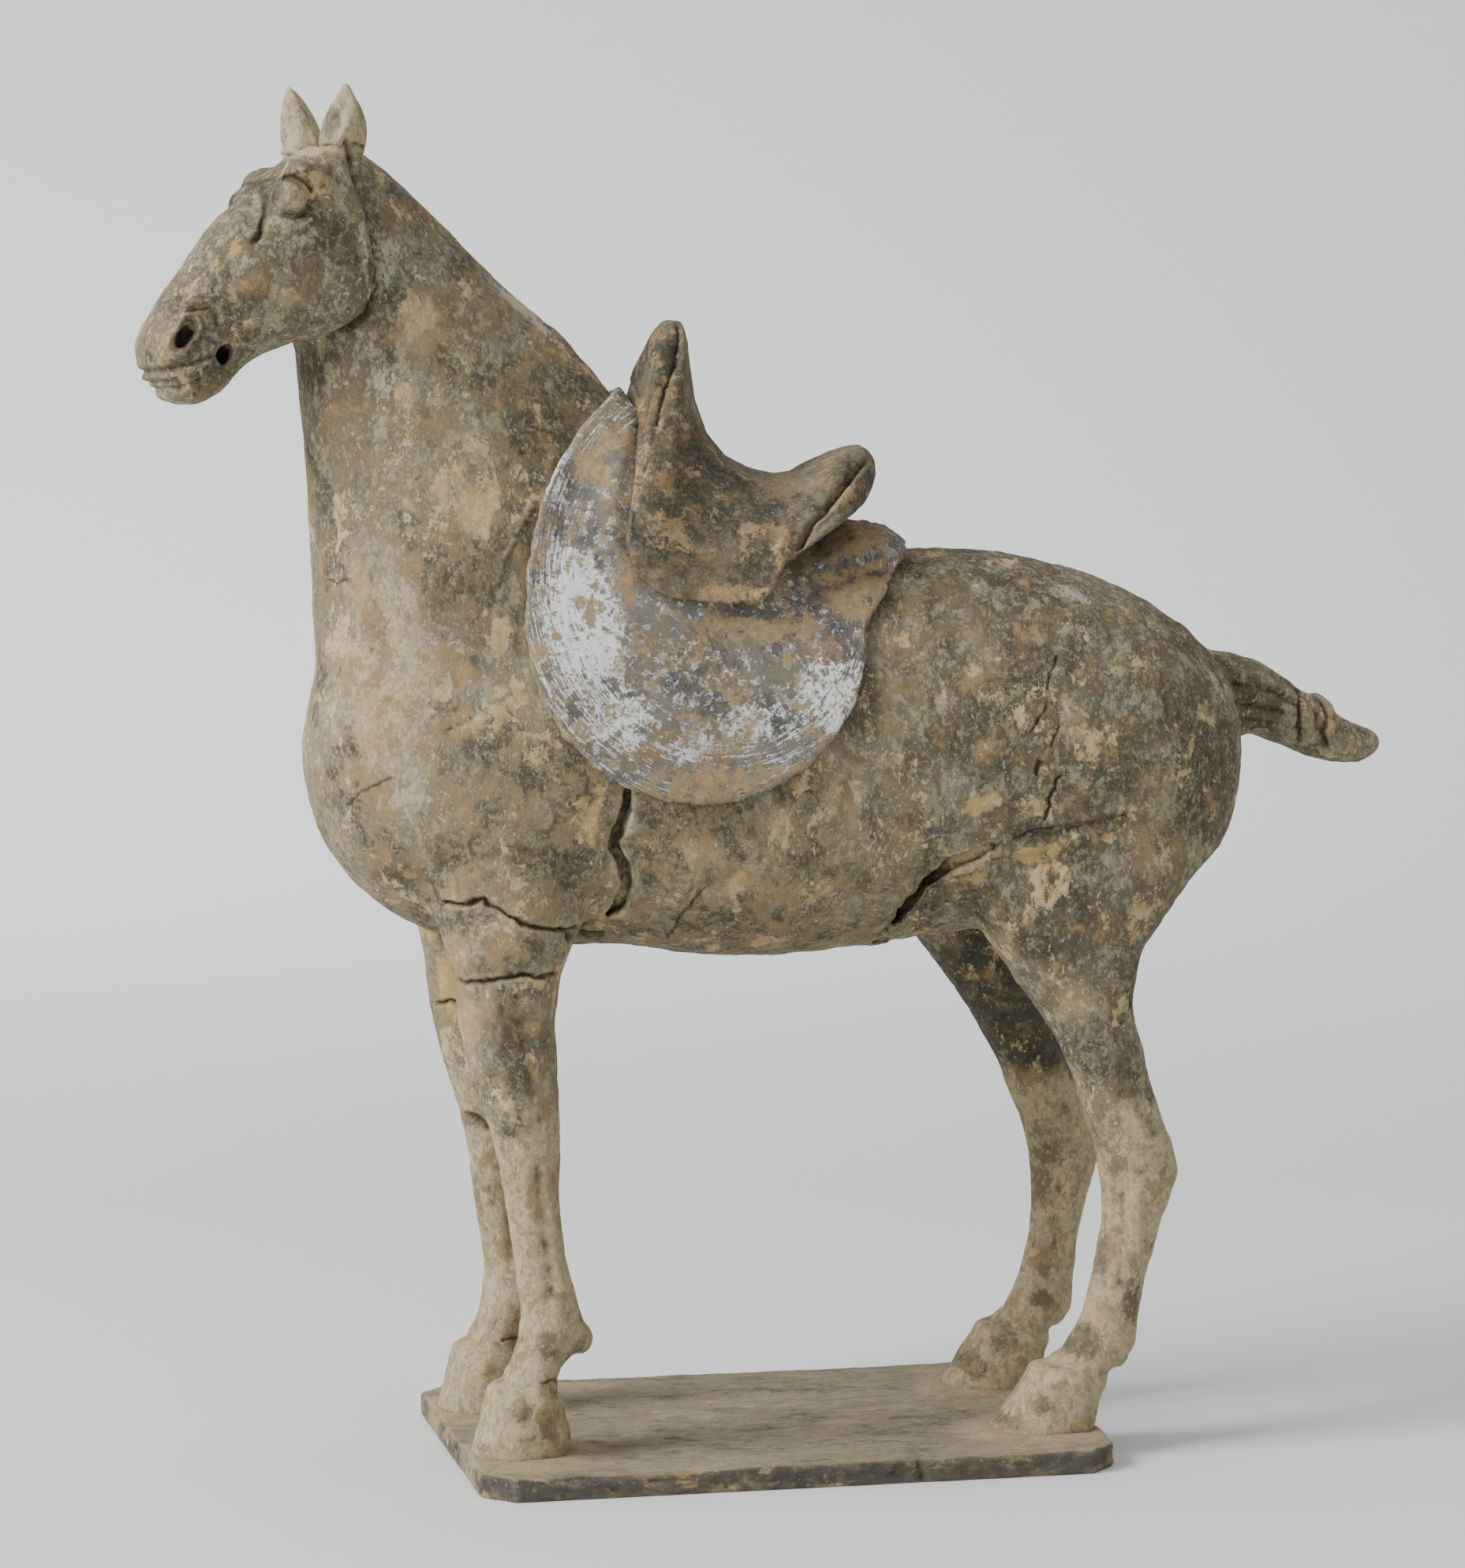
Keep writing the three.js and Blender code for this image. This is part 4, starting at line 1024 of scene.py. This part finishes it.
finish_with(saddle, "REMESH", mode="VOXEL", voxel_size=SADDLE_GRID)
soften(saddle, np.full(len(saddle.data.vertices), 0.6), 30)
places = points_of(saddle)
facing = normals_of(saddle)
x, y, z = places.T
sideways = soft_step(np.abs(facing[:, 1]), 0.1, 0.4)
rise = 0.4 * hand_noise(places, 22, 9.0) + 0.15 * hand_noise(places, 5, 1.9) + 0.25
shake_x = 0.9 * hand_noise(places, 6, 31.0, 2)
shake_z = 0.9 * hand_noise(places, 6, 57.0, 2)
for line, width, height in SADDLE_LINES:
    rise += height * stroke(x + shake_x, z + shake_z, line, width, 0.05) * sideways
move_points(saddle, places + facing * rise[:, None])
trim_to(saddle, SADDLE_TRIANGLES)
smooth_shaded(saddle)
SADDLE_STAINS = {
    "crust": [
        (0, (-58, 395), (8, 28), -10, 0.72), (0, (-40, 420), (9, 15), 0, 0.5),
        (0, (-45, 372), (18, 15), 0, 0.6), (0, (-22, 350), (36, 8), 0, 0.8),
        (0, (-10, 372), (22, 12), 0, 0.6), (0, (12, 362), (10, 14), 0, 0.7),
        (0, (24, 388), (18, 7), 42, 0.6), (0, (-52, 425), (5, 8), 0, 0.6),
    ],
    "smoke_and_shade": [
        (0, (-43, 446), (14, 18), 0, 0.95), (0, (-12, 351), (14, 4), 10, 0.8),
        (0, (-62, 358), (5, 14), 10, 0.7),
    ],
    "warm": [(0, (-34, 445), (5, 16), -15, 0.6), (0, (5, 395), (20, 10), 40, 0.5)],
}
layers = blank_layers(saddle)
layers["earth"] += 0.26
layers["smoke_and_shade"] += 0.36
layers["warm"] += 0.14
layers["crust"] += 0.24
lay_stains(saddle, layers, SADDLE_STAINS)
keep_layers(saddle, layers)
cavity_layers(saddle)
saddle.data.materials.append(fired_clay("saddle_clay", {
    "light": (114, 106, 87), "dark": (72, 69, 59), "warm": (146, 130, 101), "earth": (180, 148, 103),
    "ochre": (170, 140, 92), "slip": (165, 163, 155), "smoke_and_shade": (46, 46, 42),
}, patch=10))
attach(saddle, "root")
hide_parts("saddle")
